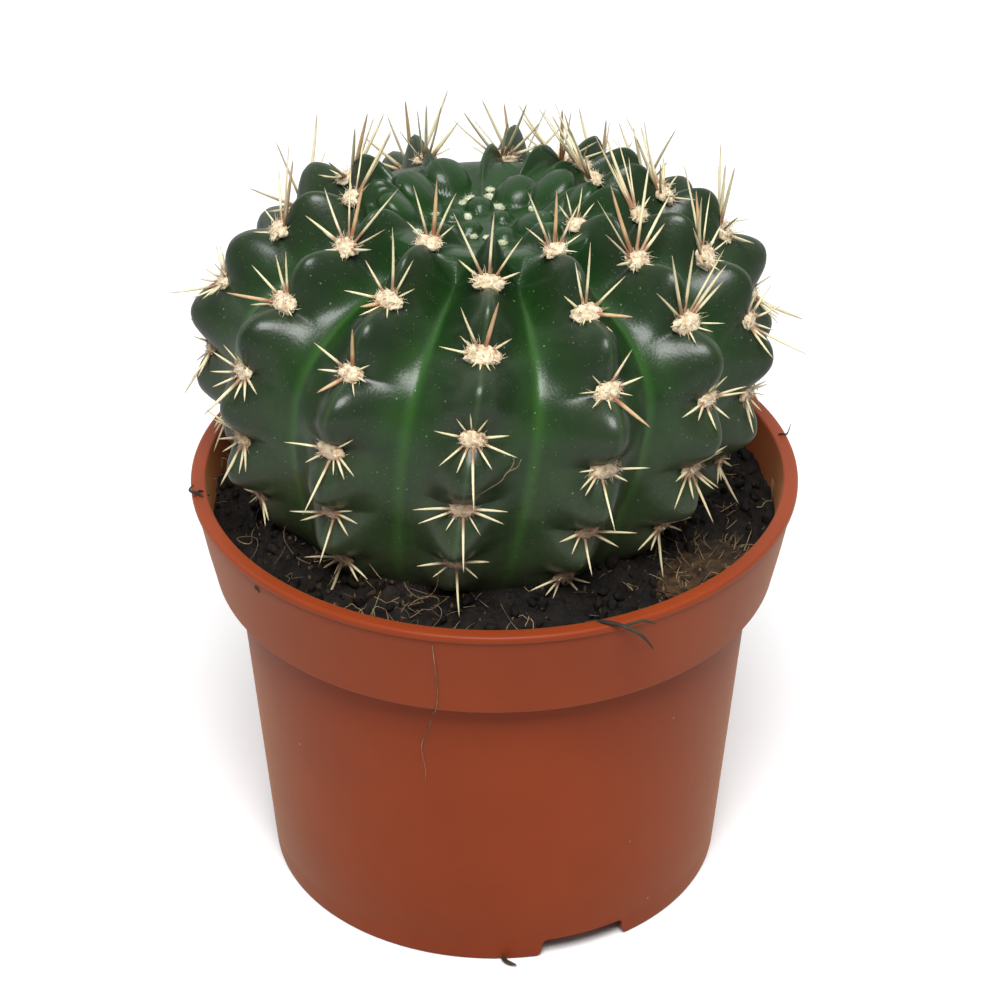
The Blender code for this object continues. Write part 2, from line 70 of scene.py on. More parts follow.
def aim_at_plant(thing, direction, distance):
    """Puts a camera or a lamp in the scene, this far from the target, and turns it to look back."""
    thing.location = CAMERA_TARGET + direction * distance
    thing.rotation_mode = "QUATERNION"
    thing.rotation_quaternion = (-direction).to_track_quat("-Z", "Y")
    bpy.context.scene.collection.objects.link(thing)


back = Vector((0.0, -math.cos(CAMERA_ELEVATION), math.sin(CAMERA_ELEVATION)))
camera_data = bpy.data.cameras.new("camera")
camera_data.lens = CAMERA_LENS
camera_data.clip_start = 10 * MM
camera_data.clip_end = 20.0
camera = bpy.data.objects.new("camera", camera_data)
aim_at_plant(camera, back, CAMERA_DISTANCE)
bpy.context.scene.camera = camera
print("camera at", [round(value, 3) for value in camera.location])

# %% [markdown]
# ## Nodes in one line
# Every finish below is a small tree of shader nodes. The first helper adds one node, sets its options,
# and fills its inputs: a socket is linked, and anything else becomes the input's own value. The others
# add the few nodes that come up most often, so that a finish reads like a recipe.


# %% Helpers for nodes
def add_node(tree, kind, inputs=None, **settings):
    made = tree.nodes.new(kind)
    for key, value in settings.items():
        setattr(made, key, value)
    for key, value in (inputs or {}).items():
        if isinstance(value, bpy.types.NodeSocket):
            tree.links.new(value, made.inputs[key])
        else:
            made.inputs[key].default_value = value
    return made


def soft_ramp(tree, value, start, end, low=0.0, high=1.0):
    """A value as a soft step from low, at start, to high, at end."""
    sockets = {"Value": value, "From Min": start, "From Max": end, "To Min": low, "To Max": high}
    return add_node(tree, "ShaderNodeMapRange", sockets, interpolation_type="SMOOTHSTEP").outputs["Result"]


def combine(tree, operation, value, other):
    """Two values, or a value and a number, added, multiplied and so on."""
    return add_node(tree, "ShaderNodeMath", {0: value, 1: other}, operation=operation).outputs[0]


def mix_shaders(tree, share, below, above):
    sockets = {0: share, 1: below.outputs[0], 2: above.outputs[0]}
    return add_node(tree, "ShaderNodeMixShader", sockets)


def grey(level):
    return (level, level, level, 1.0)


print("node helpers:", [helper.__name__ for helper in (add_node, soft_ramp, combine, mix_shaders)])

# %% [markdown]
# ## Floor, light and sky
# The plant stands on a white table in soft light. The floor is one large pale sheet. It looks
# white to the camera and throws back less light than that, so the pot keeps its depth of colour. A
# wide lamp hangs above and in front of the plant, and casts the soft shadow under the pot's band. The
# sky is a studio: dim on the camera's side, bright behind the plant, so that the sides of the pot catch
# a pale sheen at a grazing angle. Where the camera looks past the floor, it shows as plain white, and
# the floor itself fades to that white away from the plant, so that no edge is seen between the two.

# %% Floor, light and sky
FLOOR_SIZE = 6.0
FLOOR_SEEN = 0.93
FLOOR_BOUNCE = 0.5
FLOOR_LIT_TO = 0.35  # as far as this the floor shows the lamp's light and shadow
FLOOR_WHITE_FROM = 1.0  # and from here on it is plain white
SKY_FRONT = 0.22
SKY_BACK = 1.1
SKY_TURNS = (-0.35, 0.6)  # it brightens between these, where -1 is straight ahead and 1 straight back


def make_floor():
    bpy.ops.mesh.primitive_plane_add(size=FLOOR_SIZE)
    floor = bpy.context.object
    floor.name = "floor"
    material = bpy.data.materials.new("pale_floor")
    material.use_nodes = True
    tree = material.node_tree
    tree.nodes.clear()
    place = add_node(tree, "ShaderNodeTexCoord").outputs["Object"]
    away = add_node(tree, "ShaderNodeVectorMath", {0: place}, operation="LENGTH").outputs["Value"]
    near = add_node(tree, "ShaderNodeBsdfDiffuse", {"Color": grey(FLOOR_SEEN)})
    far = add_node(tree, "ShaderNodeEmission", {"Color": grey(1.0)})
    seen = mix_shaders(tree, soft_ramp(tree, away, FLOOR_LIT_TO, FLOOR_WHITE_FROM), near, far)
    thrown = add_node(tree, "ShaderNodeBsdfDiffuse", {"Color": grey(FLOOR_BOUNCE)})
    in_view = add_node(tree, "ShaderNodeLightPath").outputs["Is Camera Ray"]
    chosen = mix_shaders(tree, in_view, thrown, seen)
    add_node(tree, "ShaderNodeOutputMaterial", {"Surface": chosen.outputs[0]})
    floor.data.materials.append(material)


def make_lamp(name, azimuth, elevation, distance, size, power):
    """A square soft lamp that looks at the plant."""
    turn, rise = math.radians(azimuth), math.radians(elevation)
    away = Vector((math.sin(turn) * math.cos(rise), -math.cos(turn) * math.cos(rise), math.sin(rise)))
    data = bpy.data.lights.new(name, "AREA")
    data.shape = "SQUARE"
    data.size = size
    data.energy = power
    aim_at_plant(bpy.data.objects.new(name, data), away, distance)


def make_sky():
    world = bpy.data.worlds.new("studio")
    bpy.context.scene.world = world
    world.use_nodes = True
    tree = world.node_tree
    tree.nodes.clear()
    direction = add_node(tree, "ShaderNodeTexCoord").outputs["Generated"]
    backwards = add_node(tree, "ShaderNodeSeparateXYZ", {"Vector": direction}).outputs["Y"]
    strength = soft_ramp(tree, backwards, *SKY_TURNS, SKY_FRONT, SKY_BACK)
    fill = add_node(tree, "ShaderNodeBackground", {"Color": grey(1.0), "Strength": strength})
    seen = add_node(tree, "ShaderNodeBackground", {"Color": grey(1.0), "Strength": 1.0})
    in_view = add_node(tree, "ShaderNodeLightPath").outputs["Is Camera Ray"]
    chosen = mix_shaders(tree, in_view, fill, seen)
    add_node(tree, "ShaderNodeOutputWorld", {"Surface": chosen.outputs[0]})


make_floor()
make_lamp("lamp_over_front", azimuth=0.0, elevation=58.0, distance=1.2, size=0.55, power=19.0)
make_sky()
bpy.context.scene.view_settings.view_transform = "Standard"
print("a lamp and a sky from", SKY_FRONT, "in front to", SKY_BACK, "behind")

# %% [markdown]
# ## Tools for modelling
# Each piece starts from a primitive and is shaped in edit mode, as by hand. These helpers do the steps
# that come up again and again: take hold of one object, draw an outline by extruding one point after
# another, roll up a sheet, copy a pattern, and finish a piece so that it is closed, faces outwards and
# belongs to the frame.


# %% Tools for modelling
def take(piece):
    """Makes one object the only selected one."""
    if bpy.context.mode != "OBJECT":
        bpy.ops.object.mode_set(mode="OBJECT")
    bpy.ops.object.select_all(action="DESELECT")
    piece.select_set(True)
    bpy.context.view_layer.objects.active = piece


def start(adder, **settings):
    """Adds a primitive with nothing else selected, and returns its object."""
    if bpy.context.mode != "OBJECT":
        bpy.ops.object.mode_set(mode="OBJECT")
    bpy.ops.object.select_all(action="DESELECT")
    adder(**settings)
    return bpy.context.object


def open_mesh(kind="VERT"):
    """Edit mode on the active object, with nothing selected."""
    bpy.ops.object.mode_set(mode="EDIT")
    bpy.ops.mesh.select_mode(type=kind)
    bpy.ops.mesh.select_all(action="DESELECT")


def close_mesh():
    bpy.ops.object.mode_set(mode="OBJECT")


def draw_outline(name, points):
    """A chain of edges through the points, drawn by extruding one vertex from place to place."""
    piece = start(bpy.ops.mesh.primitive_circle_add, vertices=3, radius=MM)
    piece.name = name
    open_mesh()
    bpy.ops.mesh.select_all(action="SELECT")
    bpy.ops.mesh.merge(type="CENTER")
    bpy.ops.transform.translate(value=points[0])
    for here, there in zip(points, points[1:]):
        step = tuple(b - a for a, b in zip(here, there))
        bpy.ops.mesh.extrude_region_move(TRANSFORM_OT_translate={"value": step})
    return piece


def turn_outline(steps):
    """Spins the open outline round the Z axis, as on a lathe, and welds it to a closed skin."""
    bpy.ops.mesh.select_all(action="SELECT")
    bpy.ops.mesh.spin(steps=steps, angle=math.tau, center=(0, 0, 0), axis=(0, 0, 1))
    bpy.ops.mesh.select_all(action="SELECT")
    bpy.ops.mesh.remove_doubles(threshold=0.002 * MM)
    bpy.ops.mesh.normals_make_consistent(inside=False)
    close_mesh()


def apply_modifier(piece, kind, **settings):
    """Adds a modifier with its settings and applies it to the mesh."""
    take(piece)
    modifier = piece.modifiers.new(kind.lower(), kind)
    for key, value in settings.items():
        setattr(modifier, key, value)
    bpy.ops.object.modifier_apply(modifier=modifier.name)


# %% Tools for sheets, cuts and copies
def roll_sheet(name, lines, rings, place, attributes=None):
    """Rolls a flat sheet of squares round the Z axis into one closed skin. place takes the turn, 0 to 1,
    and how far down the sheet the point is, 0 to 1. Both ends of the sheet run together to a pole."""
    sheet = start(bpy.ops.mesh.primitive_grid_add, x_subdivisions=lines, y_subdivisions=rings, size=2.0)
    sheet.name = name
    mesh = sheet.data
    flat = [(0.5 + 0.5 * vertex.co.x, 0.5 - 0.5 * vertex.co.y) for vertex in mesh.vertices]
    for vertex, (turn, down) in zip(mesh.vertices, flat):
        vertex.co = place(turn, down)
    for key, value_at in (attributes or {}).items():
        values = [value_at(turn, down) for turn, down in flat]
        mesh.attributes.new(key, "FLOAT", "POINT").data.foreach_set("value", values)
    open_mesh()
    bpy.ops.mesh.select_non_manifold(extend=False)
    bpy.ops.mesh.remove_doubles(threshold=0.001 * MM)
    bpy.ops.mesh.select_all(action="SELECT")
    bpy.ops.mesh.normals_make_consistent(inside=False)
    close_mesh()
    return sheet


def cut_away(piece, cutter):
    """Cuts one closed shape out of a piece and throws the cutter away."""
    apply_modifier(piece, "BOOLEAN", operation="DIFFERENCE", object=cutter, solver="EXACT")
    bpy.data.objects.remove(cutter, do_unlink=True)


def smooth(piece, sharp_angle=35.0):
    take(piece)
    bpy.ops.object.shade_smooth_by_angle(angle=math.radians(sharp_angle))


def settle(piece):
    """Puts the object's place into its mesh, so that the object itself sits at the origin."""
    take(piece)
    bpy.ops.object.transform_apply(location=True, rotation=True, scale=True)


def copy_of(pattern):
    """A copy with its own mesh, that is rendered although its pattern isn't."""
    piece = pattern.copy()
    piece.data = pattern.data.copy()
    piece.hide_render = False
    bpy.context.scene.collection.objects.link(piece)
    return piece


def join(pieces):
    """Joins several objects into the first of them."""
    take(pieces[0])
    for piece in pieces[1:]:
        piece.select_set(True)
    bpy.ops.object.join()
    return bpy.context.object


def around(azimuth, radius, height):
    """A point at an azimuth in radians."""
    return Vector((radius * math.sin(azimuth), -radius * math.cos(azimuth), height))


def stretch(direction, sizes):
    """A direction made longer by its own size along each axis."""
    return Vector([part * size for part, size in zip(direction, sizes)])


def smooth_step(value):
    """A soft step from 0, at 0 and below, to 1, at 1 and above."""
    value = min(max(value, 0.0), 1.0)
    return value * value * (3.0 - 2.0 * value)


def register(piece, name, slot, *nodes):
    """Names a finished piece, lets it ride on the one body, and hides the imported parts that it replaces."""
    piece.name = name
    piece.data.name = name
    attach(piece, "root")
    if nodes:
        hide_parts(*nodes)
    print(name, len(piece.data.polygons), "faces")


# %% [markdown]
# ## Shared effects
# Nothing on this plant is one flat colour. Four effects come back in several finishes, so each is a
# node group, built once: *mottle* mixes two colours in soft clouds, *speckle* strews small dots of dust
# or fibre, *grain* is the fine relief that a Bump node reads, and *stripe* turns a distance from a line
# into a mask. Each takes a Vector or a value, so a material decides what the pattern follows.


# %% Shared effects
MIX_A, MIX_B, MIX_RESULT = 6, 7, 2  # the colour sockets of a Mix node, which shares their names with others


def new_group(name, given, output):
    """An empty node group. The inputs are given with their values, and None stands for a place."""
    tree = bpy.data.node_groups.new(name, "ShaderNodeTree")
    for socket_name, value in given.items():
        kind = "Vector" if value is None else "Color" if isinstance(value, tuple) else "Float"
        socket = tree.interface.new_socket(name=socket_name, in_out="INPUT", socket_type="NodeSocket" + kind)
        if value is not None:
            socket.default_value = value
    kind = "Color" if output == "Color" else "Float"
    tree.interface.new_socket(name=output, in_out="OUTPUT", socket_type="NodeSocket" + kind)
    entry = tree.nodes.new("NodeGroupInput")
    leave = tree.nodes.new("NodeGroupOutput")
    return tree, entry.outputs, leave.inputs[output]


def cloud_noise(tree, place, scale, **settings):
    sockets = {"Vector": place, "Scale": scale, **settings}
    return add_node(tree, "ShaderNodeTexNoise", sockets).outputs["Fac"]


def make_mottle():
    sockets = {"Vector": None, "Scale": 100.0, "Light": grey(1.0), "Dark": grey(0.0), "Contrast": 0.25}
    tree, given, out = new_group("mottle", sockets, "Color")
    clouds = cloud_noise(tree, given["Vector"], given["Scale"], Detail=4.0, Roughness=0.6)
    low = combine(tree, "SUBTRACT", 0.5, given["Contrast"])
    high = combine(tree, "ADD", 0.5, given["Contrast"])
    sockets = {0: soft_ramp(tree, clouds, low, high), MIX_A: given["Dark"], MIX_B: given["Light"]}
    mixed = add_node(tree, "ShaderNodeMix", sockets, data_type="RGBA")
    tree.links.new(mixed.outputs[MIX_RESULT], out)
    return tree


def make_speckle():
    sockets = {"Vector": None, "Scale": 400.0, "Share": 0.2, "Size": 0.25}
    tree, given, out = new_group("speckle", sockets, "Mask")
    cells = add_node(tree, "ShaderNodeTexVoronoi", {"Vector": given["Vector"], "Scale": given["Scale"]})
    edge = combine(tree, "MULTIPLY", given["Size"], 0.6)
    sockets = {"Value": cells.outputs["Distance"], "From Min": given["Size"], "From Max": edge}
    dots = add_node(tree, "ShaderNodeMapRange", sockets).outputs["Result"]
    chance = add_node(tree, "ShaderNodeSeparateColor", {"Color": cells.outputs["Color"]}).outputs[0]
    chosen = combine(tree, "LESS_THAN", chance, given["Share"])
    tree.links.new(combine(tree, "MULTIPLY", dots, chosen), out)
    return tree


def make_grain():
    sockets = {"Vector": None, "Scale": 1000.0, "Coarse Share": 0.5}
    tree, given, out = new_group("grain", sockets, "Height")
    fine = cloud_noise(tree, given["Vector"], given["Scale"], Detail=2.0)
    wide = combine(tree, "MULTIPLY", given["Scale"], 0.12)
    coarse = cloud_noise(tree, given["Vector"], wide, Detail=3.0)
    both = add_node(tree, "ShaderNodeMix", {0: given["Coarse Share"], 2: fine, 3: coarse}, data_type="FLOAT")
    tree.links.new(both.outputs[0], out)
    return tree


def make_stripe():
    tree, given, out = new_group("stripe", {"Value": 0.0, "Start": 0.0, "End": 1.0}, "Mask")
    tree.links.new(soft_ramp(tree, given["Value"], given["Start"], given["End"]), out)
    return tree


MOTTLE, SPECKLE, GRAIN, STRIPE = make_mottle(), make_speckle(), make_grain(), make_stripe()
print("shared effects:", [group.name for group in (MOTTLE, SPECKLE, GRAIN, STRIPE)])


# %% Using an effect in a material
def new_material(name, roughness):
    """A material, its nodes, its shader and the place on the piece that its patterns follow."""
    material = bpy.data.materials.new(name)
    material.use_nodes = True
    tree = material.node_tree
    shader = tree.nodes["Principled BSDF"]
    shader.inputs["Roughness"].default_value = roughness
    place = add_node(tree, "ShaderNodeTexCoord").outputs["Object"]
    return material, tree, shader, place


def effect(tree, group, **inputs):
    """One shared effect with this material's own values."""
    made = add_node(tree, "ShaderNodeGroup", node_tree=group)
    for key, value in inputs.items():
        socket = made.inputs[key.replace("_", " ")]
        if isinstance(value, bpy.types.NodeSocket):
            tree.links.new(value, socket)
        else:
            socket.default_value = value
    return made.outputs[0]


def blend(tree, share, below, above):
    """One colour laid over another by a share, which is a number or a mask."""
    sockets = {0: share, MIX_A: below, MIX_B: above}
    return add_node(tree, "ShaderNodeMix", sockets, data_type="RGBA").outputs[MIX_RESULT]


def wash(tree, below, mask, weight, paint):
    """A thin wash of one colour over another where a mask says, at a weight of 1 or less."""
    return blend(tree, combine(tree, "MULTIPLY", mask, weight), below, paint)


def written(tree, name):
    """A value that the modelling wrote on every point of the mesh."""
    return add_node(tree, "ShaderNodeAttribute", attribute_name=name).outputs["Fac"]


def height_of(tree, place):
    return add_node(tree, "ShaderNodeSeparateXYZ", {"Vector": place}).outputs["Z"]


def finish_surface(tree, shader, base, pattern, smoothest, roughest):
    """Links the colour, and a pattern that makes the surface rougher and smoother from place to place."""
    tree.links.new(base, shader.inputs["Base Color"])
    spread = add_node(tree, "ShaderNodeMapRange", {"Value": pattern, "To Min": smoothest, "To Max": roughest})
    tree.links.new(spread.outputs["Result"], shader.inputs["Roughness"])


def relief(tree, shader, height, strength, depth):
    """Fine relief in the shading, from a height pattern and its depth."""
    bump = add_node(tree, "ShaderNodeBump", {"Height": height, "Strength": strength, "Distance": depth})
    tree.links.new(bump.outputs["Normal"], shader.inputs["Normal"])


def linear_part(part):
    return part / 255 / 12.92 if part < 11 else ((part / 255 + 0.055) / 1.055) ** 2.4


def colour(red, green, blue):
    """A colour given as it looks on a screen, 0 to 255, as the linear values that nodes take."""
    return (linear_part(red), linear_part(green), linear_part(blue), 1.0)


print("a mid brown as nodes take it:", [round(part, 3) for part in colour(132, 92, 62)])

# %% [markdown]
# ## The pot
# A nursery pot is one thin wall of polypropylene: a tapered cup, a wider band that stiffens its mouth,
# and a flat lip on top. The floor sits a few millimetres up inside the foot, and three notches in the
# foot let the water out. It could be carved from a solid, but it is a turned shape, so its whole
# section is drawn once, inside and out, and spun on the lathe. The notches and drain holes are then cut.

# %% Sizes of the pot
pot_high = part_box("pot")[1]
POT_HEIGHT = pot_high.z
RIM_RADIUS = pot_high.x
LIP_WIDTH = 3.0 * MM
LIP_THICKNESS = 1.5 * MM
BAND_TOP_RADIUS = RIM_RADIUS - 0.5 * MM
BAND_FOOT_RADIUS = RIM_RADIUS - 4.1 * MM
BAND_FOOT_HEIGHT = 67.5 * MM
WALL_TOP_RADIUS = 51.6 * MM
WALL_FOOT_RADIUS = 45.7 * MM
WALL = 1.0 * MM
FLOOR_HEIGHT = 4.6 * MM
WELD_LINE_HEIGHT = 5.2 * MM  # a faint ring outside, where the floor meets the wall
NOTCH_AZIMUTHS = (23.0, 143.0, 263.0)
NOTCH_WIDTH = 17.5 * MM
NOTCH_HEIGHT = 4.3 * MM
DRAIN_HOLE_RADIUS = 4.0 * MM
DRAIN_HOLE_CENTRE = 35.0 * MM
LATHE_STEPS = 216


def wall_radius(height):
    """Outer radius of the tapered wall."""
    return WALL_FOOT_RADIUS + (WALL_TOP_RADIUS - WALL_FOOT_RADIUS) * height / BAND_FOOT_HEIGHT


def band_radius(height):
    """Outer radius of the band under the lip."""
    share = (height - BAND_FOOT_HEIGHT) / (POT_HEIGHT - LIP_THICKNESS - BAND_FOOT_HEIGHT)
    return BAND_FOOT_RADIUS + (BAND_TOP_RADIUS - BAND_FOOT_RADIUS) * share


def mouth_radius(height):
    """Inner radius of the band, which thickens towards the lip."""
    foot = BAND_FOOT_HEIGHT + WALL
    share = (height - foot) / (POT_HEIGHT - foot)
    foot_radius = band_radius(foot) - WALL
    return foot_radius + (RIM_RADIUS - LIP_WIDTH - foot_radius) * share


def arc(across, up, size, start_angle, end_angle, steps=6):
    """Points of a rounded edge about a centre, from one angle to another in degrees."""
    points = []
    for step in range(steps + 1):
        angle = math.radians(start_angle + (end_angle - start_angle) * step / steps)
        points.append((across + size * math.cos(angle), up + size * math.sin(angle)))
    return points


print("lip outside", round(RIM_RADIUS / MM, 1), "mm, pot height", round(POT_HEIGHT / MM, 1), "mm")

# %% [markdown]
# The section runs from the middle of the floor, up the inner wall, over the lip, down the band and the
# outer wall, under the foot and back to the middle. Every corner that a hand would feel is an arc,
# because moulded plastic has no knife edges and a rounded edge is what catches the light.


# %% Draw and turn the pot
def pot_section():
    floor_top = FLOOR_HEIGHT + WALL
    inner_foot = wall_radius(floor_top) - WALL
    lip_foot = POT_HEIGHT - LIP_THICKNESS
    shelf = BAND_FOOT_HEIGHT + WALL
    weld = wall_radius(WELD_LINE_HEIGHT)
    inside = [(0.0, floor_top), (0.5 * inner_foot, floor_top)]
    inside += arc(inner_foot - 1.5 * MM, floor_top + 1.5 * MM, 1.5 * MM, -90, 0)
    inside += [(wall_radius(shelf) - WALL, shelf - 1.0 * MM)]
    inside += arc(mouth_radius(shelf) - 1.0 * MM, shelf + 1.0 * MM, 1.0 * MM, -90, 0, 4)
    lip = arc(mouth_radius(POT_HEIGHT) + 0.5 * MM, POT_HEIGHT - 0.5 * MM, 0.5 * MM, 180, 90)
    lip += [(RIM_RADIUS - 0.5 * LIP_WIDTH, POT_HEIGHT + 0.05 * MM)]
    lip += arc(RIM_RADIUS - 0.7 * MM, POT_HEIGHT - 0.7 * MM, 0.7 * MM, 90, 0)
    lip += arc(RIM_RADIUS - 0.2 * MM, lip_foot + 0.2 * MM, 0.2 * MM, 0, -90, 3)
    band = arc(band_radius(lip_foot) + 0.15 * MM, lip_foot - 0.15 * MM, 0.15 * MM, 90, 180, 3)
    band += [(band_radius(76 * MM) + 0.05 * MM, 76 * MM)]
    band += arc(BAND_FOOT_RADIUS - 0.8 * MM, BAND_FOOT_HEIGHT + 0.8 * MM, 0.8 * MM, 0, -90)
    wall = arc(wall_radius(BAND_FOOT_HEIGHT) + 0.5 * MM, BAND_FOOT_HEIGHT - 0.5 * MM, 0.5 * MM, 90, 180)
    wall += [(wall_radius(45 * MM), 45 * MM), (wall_radius(20 * MM), 20 * MM)]
    wall += [(weld, WELD_LINE_HEIGHT), (weld - 0.06 * MM, WELD_LINE_HEIGHT - 0.25 * MM)]
    wall += [(wall_radius(4.0 * MM), 4.0 * MM)]
    wall += arc(wall_radius(0.0) - 0.5 * MM, 0.5 * MM, 0.5 * MM, 0, -90)
    foot = arc(wall_radius(0.0) - 1.1 * MM, 0.2 * MM, 0.2 * MM, -90, -180, 3)
    foot += arc(inner_foot - 0.6 * MM, FLOOR_HEIGHT - 0.6 * MM, 0.6 * MM, 0, 90)
    return inside + lip + band + wall + foot + [(0.0, FLOOR_HEIGHT)]


def turn_pot():
    pot = draw_outline("pot_plastic", [(radius, 0.0, height) for radius, height in pot_section()])
    turn_outline(LATHE_STEPS)
    return pot


pot = turn_pot()
print("turned pot:", len(pot.data.vertices), "points")

# %% [markdown]
# A notch is not a plain slot. Its upper corners are rounded inwards, and the foot on both sides of it
# is rounded off, so the outline of the cutter flares where it leaves the foot. It is drawn flat, filled,
# pulled out to a block and set across the wall, once for each notch. A drain hole stands behind each.


# %% Cut the notches and the drain holes
def notch_outline():
    half, flare, corner = 0.5 * NOTCH_WIDTH, 2.2 * MM, 1.2 * MM
    left = [(-half - flare, -1.0 * MM)] + arc(-half - flare, flare, flare, -90, 0)
    left += arc(-half + corner, NOTCH_HEIGHT - corner, corner, 180, 90)
    return left + [(-across, up) for across, up in reversed(left)]


def make_notch_cutter(azimuth):
    front, depth = -(WALL_FOOT_RADIUS + 4 * MM), 14 * MM
    points = [(across, front, up) for across, up in notch_outline()]
    cutter = draw_outline("notch_cutter", points)
    bpy.ops.mesh.select_all(action="SELECT")
    bpy.ops.mesh.edge_face_add()
    bpy.ops.mesh.extrude_region_move(TRANSFORM_OT_translate={"value": (0.0, depth, 0.0)})
    bpy.ops.mesh.select_all(action="SELECT")
    bpy.ops.mesh.normals_make_consistent(inside=False)
    close_mesh()
    cutter.rotation_euler.z = azimuth
    settle(cutter)
    return cutter


def make_drain_cutter(azimuth):
    place = around(azimuth, DRAIN_HOLE_CENTRE, FLOOR_HEIGHT)
    cutter = start(
        bpy.ops.mesh.primitive_cylinder_add,
        vertices=48,
        radius=DRAIN_HOLE_RADIUS,
        depth=6 * WALL,
        location=place,
    )
    settle(cutter)
    return cutter


for degrees in NOTCH_AZIMUTHS:
    cut_away(pot, make_notch_cutter(math.radians(degrees)))
    cut_away(pot, make_drain_cutter(math.radians(degrees)))
smooth(pot, 30.0)
print("pot with its notches:", len(pot.data.polygons), "faces")

# %% [markdown]
# Moulded polypropylene is coloured right through. It is nearly matte, with an even brick red that turns
# a little lighter and darker in wide clouds, a very fine grain from the mould, and dust in small specks.
# A sheen is set on the shader itself: it gives the wall a pale, warm bloom where it turns away.


# %% Pot plastic
def make_plastic():
    material, tree, shader, place = new_material("terracotta_plastic", 0.42)
    light, dark = colour(143, 58, 25), colour(131, 52, 23)
    base = effect(tree, MOTTLE, Vector=place, Scale=28.0, Light=light, Dark=dark, Contrast=0.3)
    dust = effect(tree, SPECKLE, Vector=place, Scale=260.0, Share=0.05, Size=0.07)
    base = blend(tree, dust, base, colour(190, 140, 110))
    rough = effect(tree, GRAIN, Vector=place, Scale=300.0, Coarse_Share=0.7)
    finish_surface(tree, shader, base, rough, 0.34, 0.5)
    shader.inputs["Specular IOR Level"].default_value = 0.16
    shader.inputs["Sheen Weight"].default_value = 0.22
    shader.inputs["Sheen Roughness"].default_value = 0.45
    shader.inputs["Sheen Tint"].default_value = colour(236, 178, 116)
    grain = effect(tree, GRAIN, Vector=place, Scale=2600.0, Coarse_Share=0.35)
    relief(tree, shader, grain, 0.25, 0.05 * MM)
    return material


pot.data.materials.append(make_plastic())
register(pot, "pot_plastic", "terracotta_plastic", "pot")

# %% [markdown]
# ## The shape of the stem
# Thirteen ribs run from the growing point down into the soil. The felt pads, called areoles, sit on the
# crest of each rib one after another, and between two of them the rib swells into a rounded hump, a
# tubercle. The young tubercles crowd in the sunken crown.
#
# The line through the areoles is an ellipse, flatter above than below. Everything else is measured
# from it: how far down the rib a point lies, how far across the rib it is (0 on the crest, 1 in the
# groove), and how far it then lifts off that line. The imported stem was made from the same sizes.

# %% Sizes of the stem
STEM_RADIUS = 52.0 * MM
STEM_UPPER = 30.6 * MM
STEM_LOWER = 57.0 * MM
STEM_EQUATOR = 121.4 * MM
STEM_CENTRE = Vector((-1.85 * MM, -0.7 * MM, 0.0))
STEM_LEAN = 0.05  # sideways towards +X for each unit of height
STEM_TWIST = math.radians(0.089) / MM
GROOVE_DEPTH = 7.0 * MM
GROOVE_DEPTH_LOW = 3.2 * MM  # the grooves get shallower down the side
GROOVE_FULL = 24.0 * MM  # distance down from the growing point where the grooves are at full depth
CREST_ROUNDNESS = 0.1  # the flanks of a rib meet in a rounded crest
SEAT_ROUNDNESS = 0.12  # the crest is rounder by this much at an areole, which sits on it
VALLEY_WIDTH = 1.7  # over 1 makes steeper flanks and a wider, flatter groove between two ribs
VALLEY_WIDTH_LOW = 1.15
RIBS_START = 8.0 * MM  # distance from the growing point where the ribs begin to rise, over RIBS_RISE
RIBS_RISE = 12.0 * MM
TUBERCLE_HEIGHT = 5.0 * MM
HUMP_SHARPNESS = 1.3  # how narrow a hump is across the rib, in the crown
HUMP_SHARPNESS_SIDE = 2.5  # and how much narrower on the side
HUMP_SHARPNESS_REAR = 0.7  # and at the back of the crown
HUMP_VARIES = 0.16  # share by which one hump is larger than another
SIDE_START = 24.0 * MM  # from here down to SIDE_FULL the round humps of the crown turn into long ribs
SIDE_FULL = 58.0 * MM
CALM_FOOT = 10.0 * MM
SOIL_HEIGHT = 79.0 * MM
BURIED_FADE = 20.0 * MM
BURIED_FROM = SOIL_HEIGHT + 23.0 * MM
BURIED_SHARE = 0.15
APEX_DIP = 9.0 * MM  # the crown is sunken, with a floor that is almost level as far as CROWN_FLOOR
CROWN_FLOOR = 6.0 * MM
CROWN_EDGE = 26.0 * MM
REAR_REACH = 38.0 * MM  # towards the back, over this length, the top sinks and the humps grow
REAR_DROP = 6.2 * MM
REAR_DROP_FADE = 30.0 * MM  # the drop sets in over this height, half below the equator and half above
REAR_SQUEEZE = 0.05
REAR_HUMPS = 0.6
REAR_YOUNG = 0.65  # how much of that height the youngest tubercles at the back still lack
REAR_YOUNG_FROM = 35.0 * MM
REAR_YOUNG_LENGTH = 13.0 * MM
REAR_GROOVES = 0.5  # and how much deeper the grooves are there
REAR_SPIRAL = math.radians(14.0)  # how far the ribs turn aside in the rear half of the crown
REAR_SPIRAL_FROM = 39.0 * MM
REAR_SPIRAL_LENGTH = 28.0 * MM
REAR_SPIRAL_SPREAD = 1.6  # over 1, the turn aside is full before the very back
RIB_AZIMUTHS = (-2.9, 25.3, 51.4, 74.5, 100.0, 124.0, 147.0, 171.0, 201.0, 233.0, 270.5, 300.3, 328.2)
RIB_PHASES = (0.0, 0.6, 0.2, 0.82, 0.2, 0.5, 0.93, 0.94, 0.745, 0.15, 0.67, 0.05, 0.45)
RIBS = len(RIB_AZIMUTHS)
AREOLE_SPACING = 14.9 * MM
YOUNGEST_FULL = 16.6 * MM  # distance down from the growing point where the full spacing starts
YOUNG_AREOLE = 19.0 * MM  # no areole with spines lies nearer to the growing point than this
YOUNG_ON_RIBS = (2, 4, 12)
ROWS_ON_A_RIB = 8
BEADS_REACH = 25.0 * MM
BEAD_ROUNDNESS = 0.95  # height of a young tubercle, in half widths
BEAD_SINK = 0.5 * MM

